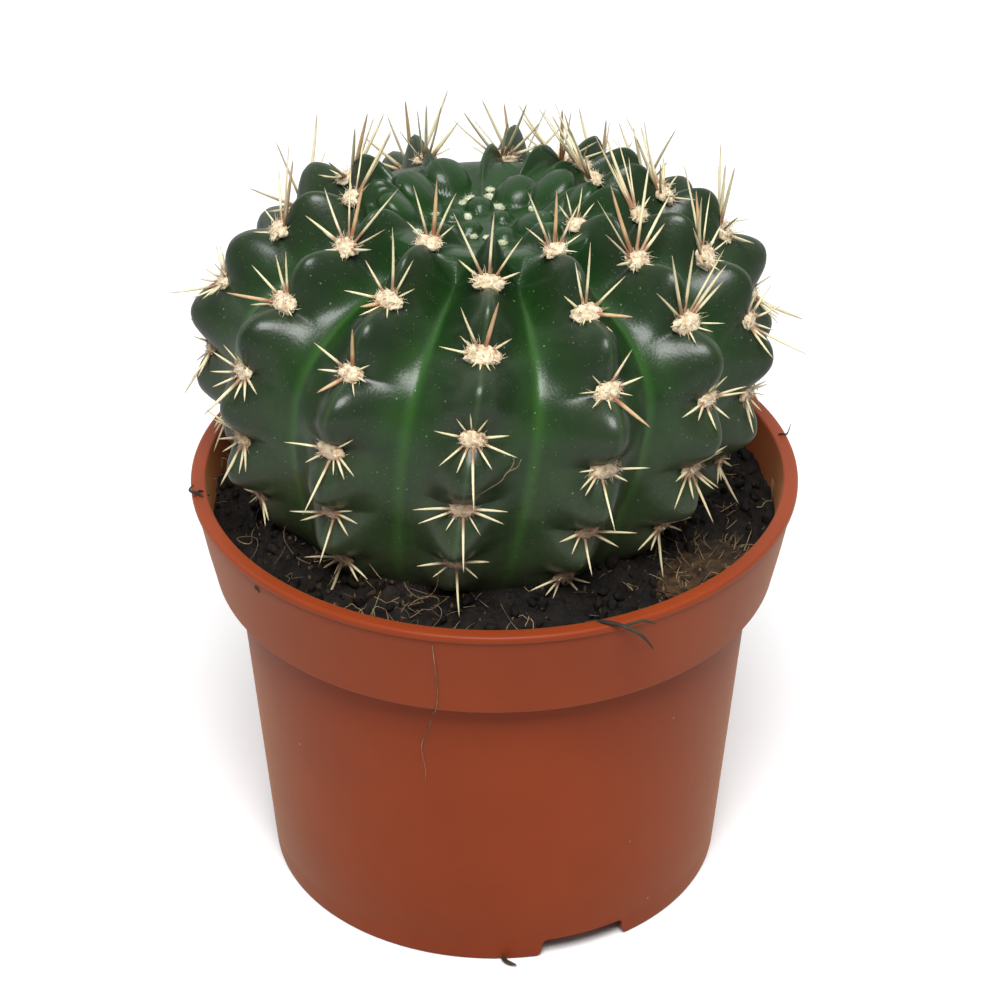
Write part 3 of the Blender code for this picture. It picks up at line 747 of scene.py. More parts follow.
# Young tubercles in the crown: (azimuth, distance from the growing point, half width), the last two in mm.
CROWN_BEADS = (
    (200, 6.2, 3.0),
    (156, 11.3, 4.4),
    (127, 14.6, 4.6),
    (211, 16.5, 4.5),
    (245, 15.6, 4.7),
    (100, 17.5, 3.3),
    (111, 2.4, 2.2),
    (313, 5.3, 2.6),
    (22, 6.8, 2.7),
    (71, 8.8, 4.0),
    (40, 14.5, 4.0),
    (315, 12.0, 3.7),
    (281, 17.8, 4.4),
    (282, 10.1, 2.2),
    (257, 7.3, 2.3),
)
print(RIBS, "ribs,", len(CROWN_BEADS), "young tubercles, radius", STEM_RADIUS / MM, "mm")


# %% From a place on a rib to a point in space
def areole_line(latitude):
    """Radius and rise above the equator of the line through the areoles."""
    half_height = STEM_UPPER if latitude > 0 else STEM_LOWER
    return STEM_RADIUS * math.cos(latitude), half_height * math.sin(latitude)


def outward_slope(latitude):
    """Direction off the areole line, as (sideways, upwards)."""
    half_height = STEM_UPPER if latitude > 0 else STEM_LOWER
    return Vector((math.cos(latitude) / STEM_RADIUS, math.sin(latitude) / half_height)).normalized()


def measure_line(steps=800):
    """Distance down from the growing point at each of many latitudes."""
    distances, latitudes = [0.0], [math.pi / 2]
    before = areole_line(latitudes[0])
    for step in range(1, steps + 1):
        latitudes.append(math.pi / 2 - math.pi * step / steps)
        here = areole_line(latitudes[-1])
        distances.append(distances[-1] + math.dist(before, here))
        before = here
    return distances, latitudes


LINE_DISTANCES, LINE_LATITUDES = measure_line()
STEM_LENGTH = LINE_DISTANCES[-1]


def latitude_at(distance):
    place = min(max(bisect_left(LINE_DISTANCES, distance), 1), len(LINE_DISTANCES) - 1)
    near, far = LINE_DISTANCES[place - 1], LINE_DISTANCES[place]
    share = min((distance - near) / (far - near), 1.0)
    return LINE_LATITUDES[place - 1] + (LINE_LATITUDES[place] - LINE_LATITUDES[place - 1]) * share


def areole_rows(rib):
    """Distance down the rib of each areole by its row. Row 0 is the youngest, which few ribs have."""
    phase = RIB_PHASES[rib]
    first = 1 if phase < 0.5 else 0
    rows = {}
    for row in range(1, ROWS_ON_A_RIB + 1):
        rows[row] = YOUNGEST_FULL + (first + row - 1 + phase) * AREOLE_SPACING
    if rib in YOUNG_ON_RIBS:
        rows[0] = max(YOUNGEST_FULL + phase * AREOLE_SPACING, YOUNG_AREOLE)
    return rows


AREOLE_ROWS = [areole_rows(rib) for rib in range(RIBS)]
AREOLES = [sorted(rows.values()) for rows in AREOLE_ROWS]
print("areoles on each rib:", [len(rows) for rows in AREOLES])


# %% Humps, young tubercles and the turn aside of the ribs
def swelling_at(rib, distance):
    """0 at an areole and 1 on the tubercle midway to the next, with each tubercle's own size."""
    older = bisect_left(AREOLES[rib], distance)
    if older == len(AREOLES[rib]):
        return 0.0
    far = AREOLES[rib][older]
    near = AREOLES[rib][older - 1] if older else far - AREOLE_SPACING
    fraction = max((distance - near) / (far - near), 0.0)
    own_size = 1.0 + HUMP_VARIES * noise.noise(Vector((3.7 * rib, 5.3 * older, 0.5)))
    return own_size * math.sin(math.pi * fraction) ** 1.2


def bead_lift(azimuth, distance):
    """Height of the young tubercles of the crown above its sunken floor."""
    place = Vector((distance * math.sin(azimuth), distance * math.cos(azimuth)))
    highest = 0.0
    for degrees, far, half_width in CROWN_BEADS:
        turn = math.radians(degrees)
        away = place - far * MM * Vector((math.sin(turn), math.cos(turn)))
        inside = 1.0 - (away.length / (half_width * MM)) ** 2
        if inside > 0.0:
            highest = max(highest, BEAD_ROUNDNESS * half_width * MM * math.sqrt(inside))
    return highest


def rear_spiral(azimuth, distance):
    """Turn aside of the ribs at the back of the crown."""
    share = smooth_step(-REAR_SPIRAL_SPREAD * math.cos(azimuth))
    return REAR_SPIRAL * share * smooth_step((REAR_SPIRAL_FROM - distance) / REAR_SPIRAL_LENGTH)


# %% A point of the skin
def azimuth_across(rib, across):
    """Azimuth of a place across a rib, before any turn aside."""
    turns, neighbour = divmod(rib + (1 if across >= 0 else -1), RIBS)
    next_azimuth = RIB_AZIMUTHS[neighbour] + 360.0 * turns
    return math.radians(RIB_AZIMUTHS[rib] + (next_azimuth - RIB_AZIMUTHS[rib]) * abs(across) / 2)


def relief_share_at(rise, distance):
    """1 where the ribs stand out in full, and less at both ends of them and under the soil."""
    share = 1.0 - (1.0 - BURIED_SHARE) * smooth_step((BURIED_FROM - STEM_EQUATOR - rise) / BURIED_FADE)
    share *= smooth_step((distance - RIBS_START) / RIBS_RISE)
    return share * smooth_step((STEM_LENGTH - distance) / CALM_FOOT)


def rib_lift(rib, across, distance, rear_side):
    """How far a rib stands off the areole line: its humps, less the groove beside it."""
    down_side = smooth_step((distance - SIDE_START) / (SIDE_FULL - SIDE_START))
    rear_crown = rear_side * (1.0 - down_side)
    groove = GROOVE_DEPTH + (GROOVE_DEPTH_LOW - GROOVE_DEPTH) * down_side
    groove *= smooth_step(distance / GROOVE_FULL) * (1.0 + REAR_GROOVES * rear_crown)
    swelling = swelling_at(rib, distance)
    sharpness = HUMP_SHARPNESS + HUMP_SHARPNESS_SIDE * down_side + HUMP_SHARPNESS_REAR * rear_crown
    hump = TUBERCLE_HEIGHT * swelling * max(math.cos(math.pi * across / 2), 0.0) ** sharpness
    hump *= 1.0 + REAR_HUMPS * rear_side
    hump *= 1.0 - REAR_YOUNG * rear_side * smooth_step((REAR_YOUNG_FROM - distance) / REAR_YOUNG_LENGTH)
    rounded = CREST_ROUNDNESS + SEAT_ROUNDNESS * max(1.0 - swelling, 0.0)
    flank = (math.hypot(across, rounded) - rounded) / (math.hypot(1.0, rounded) - rounded)
    flank = 1.0 - (1.0 - flank) ** (VALLEY_WIDTH + (VALLEY_WIDTH_LOW - VALLEY_WIDTH) * down_side)
    return hump - groove * flank


def stem_point(rib, across, distance):
    """A point of the skin. across runs from -1 to 1 over a rib, 0 on its crest."""
    latitude = latitude_at(distance)
    radius, rise = areole_line(latitude)
    out = outward_slope(latitude)
    azimuth = azimuth_across(rib, across)
    rear_side = max(-math.cos(azimuth), 0.0)
    spiral = rear_spiral(azimuth, distance)
    lift = rib_lift(rib, across, distance, rear_side) * relief_share_at(rise, distance)
    if distance < BEADS_REACH:
        lift = max(lift, bead_lift(azimuth + spiral + STEM_TWIST * rise, distance) - BEAD_SINK)
    dip = APEX_DIP * smooth_step((CROWN_EDGE - distance) / (CROWN_EDGE - CROWN_FLOOR))
    radius += out.x * lift
    height = STEM_EQUATOR + rise + out.y * lift - dip
    azimuth += STEM_TWIST * (height - STEM_EQUATOR) + spiral
    point = around(azimuth, max(radius, 0.0), height) + STEM_CENTRE
    point.x += STEM_LEAN * (height - STEM_EQUATOR)
    rear = smooth_step(point.y / REAR_REACH)
    point.y *= 1.0 - REAR_SQUEEZE * rear
    above = height - STEM_EQUATOR + 0.5 * REAR_DROP_FADE
    point.z -= REAR_DROP * rear * smooth_step(above / REAR_DROP_FADE)
    return point


print("a rib is", round(STEM_LENGTH / MM), "mm long from the growing point to its buried end")

# %% [markdown]
# ## The skin
# Ribs and humps could be pulled out by hand, but there are some eighty humps and they follow a rule. So
# the skin starts as a flat sheet with enough lines to hold the relief. It is rolled up, each point goes
# to its own place on a rib, and the seam is welded. The rings are close together above the soil. Two
# values are written on every point for the finish to read: how far across the rib it lies, and how far
# down the rib.

# %% Model the stem
LINES_PER_RIB = 26
STEM_RINGS = 244
RINGS_IN_VIEW = 0.86  # share of the rings on the part that is seen
LENGTH_IN_VIEW = 112.0 * MM
MIDDLE_OF_STEM = Vector((0.0, 0.0, STEM_EQUATOR - 10 * MM))  # the skin's dents go in and out from here
CROWN_CALM = 8.0 * MM  # and they fade out this near to the growing point


def ring_distance(share_down):
    """Distance down the rib of a ring of the sheet."""
    if share_down < RINGS_IN_VIEW:
        return LENGTH_IN_VIEW * share_down / RINGS_IN_VIEW
    hidden_length = STEM_LENGTH - LENGTH_IN_VIEW
    return LENGTH_IN_VIEW + hidden_length * (share_down - RINGS_IN_VIEW) / (1 - RINGS_IN_VIEW)


def skin_unevenness(point):
    """Soft dents and swells of living tissue."""
    wide = noise.noise(point / (9 * MM))
    close = noise.noise(point / (2.6 * MM) + Vector((7.0, 1.0, 3.0)))
    return 0.16 * MM * wide + 0.035 * MM * close


def rib_and_across(turn):
    rib = math.floor(RIBS * turn + 0.5)
    return rib % RIBS, 2.0 * (RIBS * turn - rib)


def stem_place(turn, down):
    rib, across = rib_and_across(turn)
    distance = ring_distance(down)
    point = stem_point(rib, across, distance)
    outwards = (point - MIDDLE_OF_STEM).normalized()
    return point + outwards * skin_unevenness(point) * smooth_step(distance / CROWN_CALM)


def model_stem():
    attributes = {
        "across": lambda turn, down: abs(rib_and_across(turn)[1]),
        "down": lambda turn, down: ring_distance(down),
    }
    stem = roll_sheet("stem", RIBS * LINES_PER_RIB, STEM_RINGS, stem_place, attributes)
    take(stem)
    bpy.ops.object.shade_smooth()
    return stem


stem = model_stem()
print("stem:", len(stem.data.vertices), "points")

# %% [markdown]
# The skin is waxy and thick. On the crests it is a dull, dark grey-green, in the grooves a fresh green
# where the soft tissue shows, with one bright line at the very bottom of each groove. A faint pale line
# along each keel is a painted highlight, where light catches the crest. Near the soil it turns brownish
# from age, under a film of dust. The wax gives it broad soft highlights, duller where the wax is rubbed, and
# a thin coat adds a little clear gloss.
#
# Each wash below is (mask, weight, colour), laid over the ones before it. The masks come from the two
# values on the mesh, in metres down the rib and as a share across it, and from the height in metres.


# %% Stem skin
def skin_washes(tree, place):
    across, down, height = written(tree, "across"), written(tree, "down"), height_of(tree, place)
    young = effect(tree, STRIPE, Value=down, Start=0.032, End=0.018)
    below_crown = effect(tree, STRIPE, Value=down, Start=0.026, End=0.04)
    groove = effect(tree, STRIPE, Value=across, Start=0.84, End=1.0)
    groove = combine(tree, "MULTIPLY", groove, below_crown)
    # painted highlight: a pale line along each keel, where light catches the crest
    keel_highlight = effect(tree, STRIPE, Value=across, Start=0.06, End=0.0)
    aged = effect(tree, STRIPE, Value=height, Start=0.104, End=0.080)
    low = effect(tree, STRIPE, Value=height, Start=0.145, End=0.095)
    film = effect(tree, GRAIN, Vector=place, Scale=900.0, Coarse_Share=0.5)
    film = combine(tree, "MULTIPLY", film, low)
    wide_dust = effect(tree, SPECKLE, Vector=place, Scale=560.0, Share=0.14, Size=0.13)
    fine_dust = effect(tree, SPECKLE, Vector=place, Scale=1700.0, Share=0.16, Size=0.22)
    return (
        (young, 0.35, colour(34, 70, 33)),
        (groove, 0.62, colour(44, 86, 28)),
        # the pale colour of the painted highlight along the keel
        (keel_highlight, 0.1, colour(110, 135, 90)),
        (aged, 0.55, colour(74, 76, 50)),
        (film, 0.18, colour(126, 134, 108)),
        (wide_dust, 0.4, colour(150, 162, 138)),
        (fine_dust, 0.25, colour(150, 162, 138)),
    )


def make_skin():
    material, tree, shader, place = new_material("cactus_skin", 0.4)
    light, dark = colour(38, 54, 31), colour(25, 41, 24)
    crest = effect(tree, MOTTLE, Vector=place, Scale=90.0, Light=light, Dark=dark, Contrast=0.28)
    light, dark = colour(30, 60, 20), colour(20, 46, 18)
    flank = effect(tree, MOTTLE, Vector=place, Scale=140.0, Light=light, Dark=dark, Contrast=0.25)
    off_crest = effect(tree, STRIPE, Value=written(tree, "across"), Start=0.25, End=0.85)
    base = blend(tree, off_crest, crest, flank)
    for mask, weight, paint in skin_washes(tree, place):
        base = wash(tree, base, mask, weight, paint)
    rough = effect(tree, GRAIN, Vector=place, Scale=500.0, Coarse_Share=0.6)
    finish_surface(tree, shader, base, rough, 0.22, 0.42)
    shader.inputs["Specular IOR Level"].default_value = 0.25
    shader.inputs["Coat Weight"].default_value = 0.12
    shader.inputs["Coat Roughness"].default_value = 0.2
    grain = effect(tree, GRAIN, Vector=place, Scale=1700.0, Coarse_Share=0.6)
    relief(tree, shader, grain, 0.5, 0.22 * MM)
    return material


stem.data.materials.clear()
stem.data.materials.append(make_skin())
register(stem, "stem_skin", "cactus_skin", "cactus_stem")

# %% [markdown]
# ## Rods for spines, wool and roots
# A spine is a tapering rod with a swollen foot and a needle-sharp tip. One is drawn out ring by ring
# from a small disc, one long and one thick, with the value *along* written on it, 0 at the foot and 1 at
# the tip. Every spine on the plant is a copy of that rod, laid along its own slightly bent line with its
# own thickness and *tone*. Wool and roots are rods of the same kind, without the swollen foot.


# %% Model the rods
def make_rod(name, sides, outline):
    """A rod along Z from (height, radius) pairs, the last of which draws together to the tip."""
    foot_radius = outline[0][1]
    rod = start(bpy.ops.mesh.primitive_circle_add, vertices=sides, radius=foot_radius, fill_type="NGON")
    rod.name = name
    open_mesh("FACE")
    bpy.ops.mesh.select_all(action="SELECT")
    for (low, wide), (high, narrow) in zip(outline, outline[1:]):
        bpy.ops.mesh.extrude_region_move(TRANSFORM_OT_translate={"value": (0.0, 0.0, high - low)})
        shrink = narrow / wide
        bpy.ops.transform.resize(value=(shrink, shrink, 1.0), center_override=(0.0, 0.0, high))
    bpy.ops.mesh.merge(type="CENTER")
    bpy.ops.mesh.select_all(action="SELECT")
    bpy.ops.mesh.normals_make_consistent(inside=False)
    close_mesh()
    mesh = rod.data
    along = mesh.attributes.new("along", "FLOAT", "POINT")
    along.data.foreach_set("value", [vertex.co.z for vertex in mesh.vertices])
    mesh.attributes.new("tone", "FLOAT", "POINT")
    take(rod)
    bpy.ops.object.shade_smooth()
    rod.hide_render = True
    return rod


NARROWS_FROM = 0.55


def even_outline(rings, tip):
    """Rings at equal heights on a rod that narrows to its tip over the last part."""
    heights = [ring / rings for ring in range(rings)] + [1.0]
    narrowed = [smooth_step((height - NARROWS_FROM) / 0.45) for height in heights]
    return [(height, 1.0 - (1.0 - tip) * share) for height, share in zip(heights, narrowed)]


SPINE_OUTLINE = (
    (0.0, 1.1), (0.05, 1.2), (0.11, 1.05), (0.28, 0.98), (0.48, 0.9),
    (0.66, 0.76), (0.81, 0.56), (0.93, 0.3), (1.0, 0.05),
)
spine_rod = make_rod("spine_rod", 8, SPINE_OUTLINE)
wool_rod = make_rod("wool_rod", 4, even_outline(5, 0.4))
root_rod = make_rod("root_rod", 6, even_outline(28, 0.35))
print("rods of", [len(rod.data.polygons) for rod in (spine_rod, wool_rod, root_rod)], "faces")


# %% Lay a rod along a line
def lay_rod(rod, path, radius, tone=0.0):
    """A copy of a rod with its own mesh. path gives a point for each share along it, 0 to 1."""
    piece = copy_of(rod)
    reference = (path(0.05) - path(0.0)).orthogonal().normalized()
    rings = {}
    for vertex in piece.data.vertices:
        across, deep, along = vertex.co
        key = round(along, 3)
        if key not in rings:
            forward = (path(min(along + 0.02, 1.0)) - path(max(along - 0.02, 0.0))).normalized()
            side = (reference - forward * forward.dot(reference)).normalized()
            rings[key] = (path(along), side, forward.cross(side))
        centre, side, other = rings[key]
        vertex.co = centre + (side * across + other * deep) * radius
    piece.data.attributes["tone"].data.foreach_set("value", [tone] * len(piece.data.vertices))
    return piece


def curve_path(foot, heading, length, bend=(0.0, 0.0, 0.0)):
    """A line that leaves its foot along a heading and bends away by a share of its length."""
    heading = Vector(heading).normalized()
    return lambda along: foot + length * (heading * along + Vector(bend) * along * along)


noise.seed_set(1)  # noise_vector starts at a chance place each run, unless its seed is set


def wander_path(foot, heading, length, wander, seed):
    """A line that curls about at random, as a hair root does."""
    heading = Vector(heading).normalized()
    shift = Vector((seed * 3.1, seed * 1.7, seed * 0.9))

    def path(along):
        curl = noise.noise_vector(shift + Vector((2.4 * along, 0.0, 0.0))) - noise.noise_vector(shift)
        return foot + length * (heading * along + wander * curl)

    return path


# %% [markdown]
# A spine is ivory with a faint green tinge, reddish brown where it leaves the felt, and greyish brown
# at the very tip. A few stout ones are tan all along. The tone of each rod says how tan it is.


# %% Spine finish
def make_spine_material():
    material, tree, shader, place = new_material("areole_spines", 0.42)
    light, dark = colour(236, 228, 190), colour(212, 204, 160)
    ivory = effect(tree, MOTTLE, Vector=place, Scale=240.0, Light=light, Dark=dark, Contrast=0.3)
    light, dark = colour(196, 156, 108), colour(168, 122, 80)
    tan = effect(tree, MOTTLE, Vector=place, Scale=300.0, Light=light, Dark=dark, Contrast=0.3)
    base = blend(tree, written(tree, "tone"), ivory, tan)
    along = written(tree, "along")
    foot = effect(tree, STRIPE, Value=along, Start=0.36, End=0.14)
    base = wash(tree, base, foot, 0.8, colour(132, 76, 50))
    tip = effect(tree, STRIPE, Value=along, Start=0.72, End=0.98)
    base = wash(tree, base, tip, 0.6, colour(128, 104, 80))
    aged = effect(tree, STRIPE, Value=height_of(tree, place), Start=0.125, End=0.09)
    base = wash(tree, base, aged, 0.3, colour(176, 150, 112))
    streaks = effect(tree, GRAIN, Vector=place, Scale=1500.0, Coarse_Share=0.4)
    finish_surface(tree, shader, base, streaks, 0.34, 0.55)
    relief(tree, shader, streaks, 0.2, 0.03 * MM)
    return material


def make_felt_material(name, light, dark, old):
    """Matted wool with brown pits, browner on the old areoles near the soil."""
    material, tree, shader, place = new_material(name, 0.95)
    base = effect(tree, MOTTLE, Vector=place, Scale=900.0, Light=light, Dark=dark, Contrast=0.16)
    pits = effect(tree, SPECKLE, Vector=place, Scale=900.0, Share=0.4, Size=0.45)
    base = wash(tree, base, pits, 0.5, old)
    aged = effect(tree, STRIPE, Value=height_of(tree, place), Start=0.128, End=0.1)
    base = wash(tree, base, aged, 0.7, old)
    tree.links.new(base, shader.inputs["Base Color"])
    shader.inputs["Sheen Weight"].default_value = 0.25
    wool = effect(tree, GRAIN, Vector=place, Scale=2600.0, Coarse_Share=0.4)
    relief(tree, shader, wool, 0.7, 0.15 * MM)
    return material


spine_material = make_spine_material()
felt_material = make_felt_material(
    "areole_felt", colour(230, 216, 188), colour(192, 168, 132), colour(132, 92, 62)
)
white_felt_material = make_felt_material(
    "white_felt", colour(204, 206, 180), colour(160, 170, 132), colour(124, 122, 84)
)
spine_rod.data.materials.append(spine_material)
wool_rod.data.materials.append(felt_material)
print("finishes:", spine_material.name, felt_material.name, white_felt_material.name)

# %% [markdown]
# ## Felt pads
# An areole is a small cushion of matted wool. Three of them are modelled, each from a ball that is
# pressed flat, roughened into lumps and dressed with short curly hairs. The pads on the plant are copies
# of these three, so no two neighbours look the same once they are turned and sized a little differently.

# %% Model the felt pads
PAD_HALF_SIZES = (3.0 * MM, 2.05 * MM, 1.3 * MM)  # across the rib, along it and off the skin
HAIRS_ON_A_PAD = 66
HAIR_SINK = 0.92  # how far out in the pad a hair's foot is


def lumpy(point, shift):
    return 1.0 + 0.22 * noise.noise(1.7 * point + shift) + 0.16 * noise.noise(4.6 * point + shift)


def chance_vector(chance):
    return Vector([chance.uniform(-1.0, 1.0) for _ in range(3)])


def chance_outward(chance, lowest):
    """A chance direction off the upper half of a ball, which rises by lowest at least."""
    turn, rise = chance.uniform(0, math.tau), math.asin(chance.uniform(lowest, 1.0))
    return Vector((math.cos(turn) * math.cos(rise), math.sin(turn) * math.cos(rise), math.sin(rise)))


def make_pad(seed):
    """A pad about the origin: X across the rib, Y up the rib, Z off the skin."""
    shift = Vector((seed * 5.0, 0.0, seed * 2.0))
    pad = start(bpy.ops.mesh.primitive_uv_sphere_add, segments=38, ring_count=20, radius=1.0)
    for vertex in pad.data.vertices:
        vertex.co = vertex.co * lumpy(vertex.co, shift)
    pad.scale = PAD_HALF_SIZES
    settle(pad)
    bpy.ops.object.shade_smooth()
    pad.data.materials.append(felt_material)
    chance = random.Random(seed)
    hairs = []
    for _ in range(HAIRS_ON_A_PAD):
        out = chance_outward(chance, 0.05)
        foot = stretch(out, PAD_HALF_SIZES) * HAIR_SINK
        heading = out + 0.9 * chance_vector(chance).cross(out)
        length = chance.uniform(0.7, 1.5) * MM
        path = curve_path(foot, heading, length, 0.7 * chance_vector(chance))
        hairs.append(lay_rod(wool_rod, path, chance.uniform(0.035, 0.06) * MM))
    pad = join([pad] + hairs)
    pad.name = "pad_" + str(seed)
    pad.hide_render = True
    return pad


pads = [make_pad(seed) for seed in (1, 2, 3)]
print("pads of", [len(pad.data.polygons) for pad in pads], "faces")

# %% [markdown]
# ## Spines on each areole
# On an areole the spines fan out sideways, and one or two stand off in the middle. At the crown they
# point up, down the side they turn to point down and outwards. Each spine is written as (direction,
# length, thickness): the direction clockwise from straight up, as seen by someone who stands in front
# of the plant, and the length in mm as it looks from there. Areoles at the front have lists of their own;
# the others take the list of their kind, in which the direction is measured on the skin itself.

# %% Lists of spines
SEEN_UP = Vector((0.0, math.sin(CAMERA_ELEVATION), math.cos(CAMERA_ELEVATION)))
SEEN_RIGHT = Vector((1.0, 0.0, 0.0))
THIN, PLAIN, STOUT = 0.72, 1.0, 1.55
SPINE_RADIUS = 0.26 * MM

FRONT_SPINES = {
    (0, 1): ((3, 12, PLAIN), (-26, 12.5, PLAIN), (33, 9.7, PLAIN), (73, 5, PLAIN), (-52, 6.2, PLAIN),
             (-115, 2.6, THIN), (130, 2.2, THIN), (-80, 3.4, THIN)),
    (0, 2): ((-26, 8.4, PLAIN), (16, 9, STOUT), (-80, 7.5, PLAIN), (60, 5.5, PLAIN), (110, 3, THIN),
             (155, 2.6, THIN), (190, 3, THIN), (220, 2.4, THIN), (-50, 4.6, THIN)),
    (0, 3): ((-5, 4, THIN), (-80, 6.5, PLAIN), (-130, 7, PLAIN), (-155, 6, PLAIN), (180, 12.5, PLAIN),
             (150, 6, PLAIN), (115, 7.7, PLAIN), (85, 6, PLAIN), (40, 3.4, THIN), (-42, 3.8, THIN)),
    (0, 4): ((-88, 8, PLAIN), (-110, 7.5, PLAIN), (-145, 4.5, THIN), (180, 11, PLAIN), (92, 7.5, PLAIN),
             (110, 7, PLAIN), (150, 5, THIN), (12, 3, THIN), (-35, 3, THIN)),
    (0, 5): ((179, 10, PLAIN), (-95, 6.5, PLAIN), (88, 6, PLAIN), (-130, 4.5, THIN), (128, 4.6, THIN)),
    (1, 1): ((-22, 11, PLAIN), (4, 10.5, STOUT), (24, 9, PLAIN), (-48, 6, THIN), (55, 5, THIN),
             (95, 3.5, THIN)),
    (1, 2): ((5, 11.7, PLAIN), (-12, 8.2, PLAIN), (45, 8.6, PLAIN), (95, 7.5, STOUT), (125, 5, PLAIN),
             (160, 2.4, THIN), (200, 2.2, THIN), (-55, 4.5, PLAIN)),
    (1, 3): ((32, 7.3, PLAIN), (-45, 3.4, THIN), (68, 6, PLAIN), (130, 9, STOUT), (98, 4, THIN),
             (170, 3, THIN), (-95, 4.5, THIN), (-140, 3.6, THIN)),
    (1, 4): ((45, 4.4, PLAIN), (88, 8, PLAIN), (120, 4.6, PLAIN), (168, 11, PLAIN), (-130, 5, PLAIN),
             (-150, 5.4, PLAIN), (-95, 4.2, THIN), (12, 3, THIN)),
    (1, 5): ((172, 8, PLAIN), (92, 8.6, PLAIN), (118, 6, PLAIN), (-115, 5, PLAIN), (-150, 4.4, THIN)),
    (2, 0): ((-10, 6, THIN), (12, 7, THIN), (35, 5, THIN), (-35, 4.5, THIN), (70, 3, THIN)),
    (12, 0): ((-14, 9.6, PLAIN), (6, 11, STOUT), (22, 9.6, PLAIN), (-42, 5, THIN), (52, 5, THIN)),
    (12, 1): ((5, 12, PLAIN), (-30, 8, PLAIN), (30, 7.5, PLAIN), (-75, 7.7, PLAIN), (-105, 4.5, STOUT),
              (-120, 5, PLAIN), (185, 3, THIN), (68, 4.4, THIN)),
    (12, 2): ((0, 7.2, STOUT), (-50, 8, PLAIN), (-80, 5.3, PLAIN), (-118, 6, STOUT), (65, 3.2, THIN),
              (175, 3.5, THIN), (118, 3, THIN)),
    (12, 3): ((-20, 3.5, THIN), (-78, 8, PLAIN), (-115, 5, PLAIN), (205, 11.5, PLAIN), (180, 4, THIN),
              (160, 5, PLAIN), (140, 6, PLAIN), (70, 4.2, THIN)),
    (12, 4): ((196, 10, PLAIN), (-92, 7.5, PLAIN), (-110, 5.5, PLAIN), (150, 5, PLAIN), (112, 5.4, PLAIN),
              (85, 4, THIN)),
    (11, 2): ((-42, 8.5, PLAIN), (-15, 8, PLAIN), (-3, 8.5, PLAIN), (-80, 10, STOUT), (-92, 6, PLAIN),
              (-120, 6, PLAIN), (150, 3, THIN)),
}

KIND_SPINES = {
    "crown": ((-20, 16, PLAIN), (3, 14, STOUT), (24, 17, THIN), (-50, 11, THIN), (52, 11.5, THIN),
              (-88, 5, THIN), (90, 5, THIN), (-8, 10, THIN)),
    "shoulder": ((2, 14, STOUT), (-26, 17, THIN), (28, 16, PLAIN), (-55, 12, PLAIN), (57, 13, THIN),
                 (-84, 9, PLAIN), (86, 9, PLAIN), (-118, 6, THIN), (120, 6, THIN), (176, 4, THIN)),
    "side": ((180, 11, PLAIN), (-84, 8.5, PLAIN), (86, 8.4, PLAIN), (-112, 8, PLAIN), (110, 8, PLAIN),
             (-148, 6, PLAIN), (146, 6, PLAIN), (-42, 6, THIN), (40, 6, THIN), (4, 6, THIN)),
    "low": ((180, 9.5, PLAIN), (-92, 6.6, PLAIN), (94, 6.4, PLAIN), (-124, 5, PLAIN), (126, 5.2, PLAIN),
            (-156, 4, THIN), (-40, 3, THIN)),
}
KIND_ENDS = {"crown": 30 * MM, "shoulder": 52 * MM, "side": 80 * MM, "low": math.inf}  # down the rib
PAD_SIZES = {"crown": 0.82, "shoulder": 1.0, "side": 0.86, "low": 0.66}


def kind_of(distance):
    return next(kind for kind, end in KIND_ENDS.items() if distance < end)


print(len(FRONT_SPINES), "areoles with their own list and", len(KIND_SPINES), "kinds for the others")


# %% How pads and spines sit on the skin
PAD_LIFT = 0.7 * MM
SPINE_LIFT = 1.0 * MM  # how far off the skin a spine's foot is
FOOT_SPREAD = 1.5 * MM  # and how far at most from the middle of the pad
LONG_SPINE = 8.9 * MM  # from this length on, a spine stands off more and may be a thicker one
THICKER = 1.3
MISSING_SHARE = 0.08  # share of the spines that a plant has lost
STOUT_TONE = 0.8
DIRECTION_SPREAD = 9.0  # degrees


# %% Where a spine points
def areole_frame(rib, distance):
    """Place of an areole: X across the rib, Y up along it, Z out of the skin."""
    point = stem_point(rib, 0.0, distance)
    outward = outward_slope(latitude_at(distance))
    azimuth = math.radians(RIB_AZIMUTHS[rib]) + STEM_TWIST * (point.z - STEM_EQUATOR)
    out = around(azimuth, outward.x, outward.y)
    across = Vector((math.cos(azimuth), math.sin(azimuth), 0.0))
    up = out.cross(across)
    return Matrix.Translation(point) @ Matrix((across, up, out)).transposed().to_4x4()


def seen_heading(out, direction, length, lift):
    """The spine that looks this long in this direction from the front, and stands off the skin by lift."""
    turn = math.radians(direction)
    flat = length * (SEEN_RIGHT * math.sin(turn) + SEEN_UP * math.cos(turn))
    towards = (lift * length - flat.dot(out)) / max(out.dot(back), 0.3)
    return flat + back * min(max(towards, -0.9 * length), 1.1 * length)


def kind_heading(frame_of, direction, length, lift):
    turn = math.radians(direction)
    flat = Vector((math.sin(turn), math.cos(turn), lift))
    return frame_of.to_3x3() @ (flat.normalized() * length)


# %% Dress an areole
def lay_pad(frame_of, pad_size, chance):
    size = chance.uniform(0.92, 1.1) * pad_size
    piece = copy_of(chance.choice(pads))
    turned = Matrix.Rotation(chance.uniform(-0.2, 0.2) + chance.choice((0.0, math.pi)), 4, "Z")
    lifted = Matrix.Translation((0.0, 0.0, PAD_LIFT))
    piece.data.transform(frame_of @ lifted @ turned @ Matrix.Diagonal((size, size, size, 1.0)))
    return piece


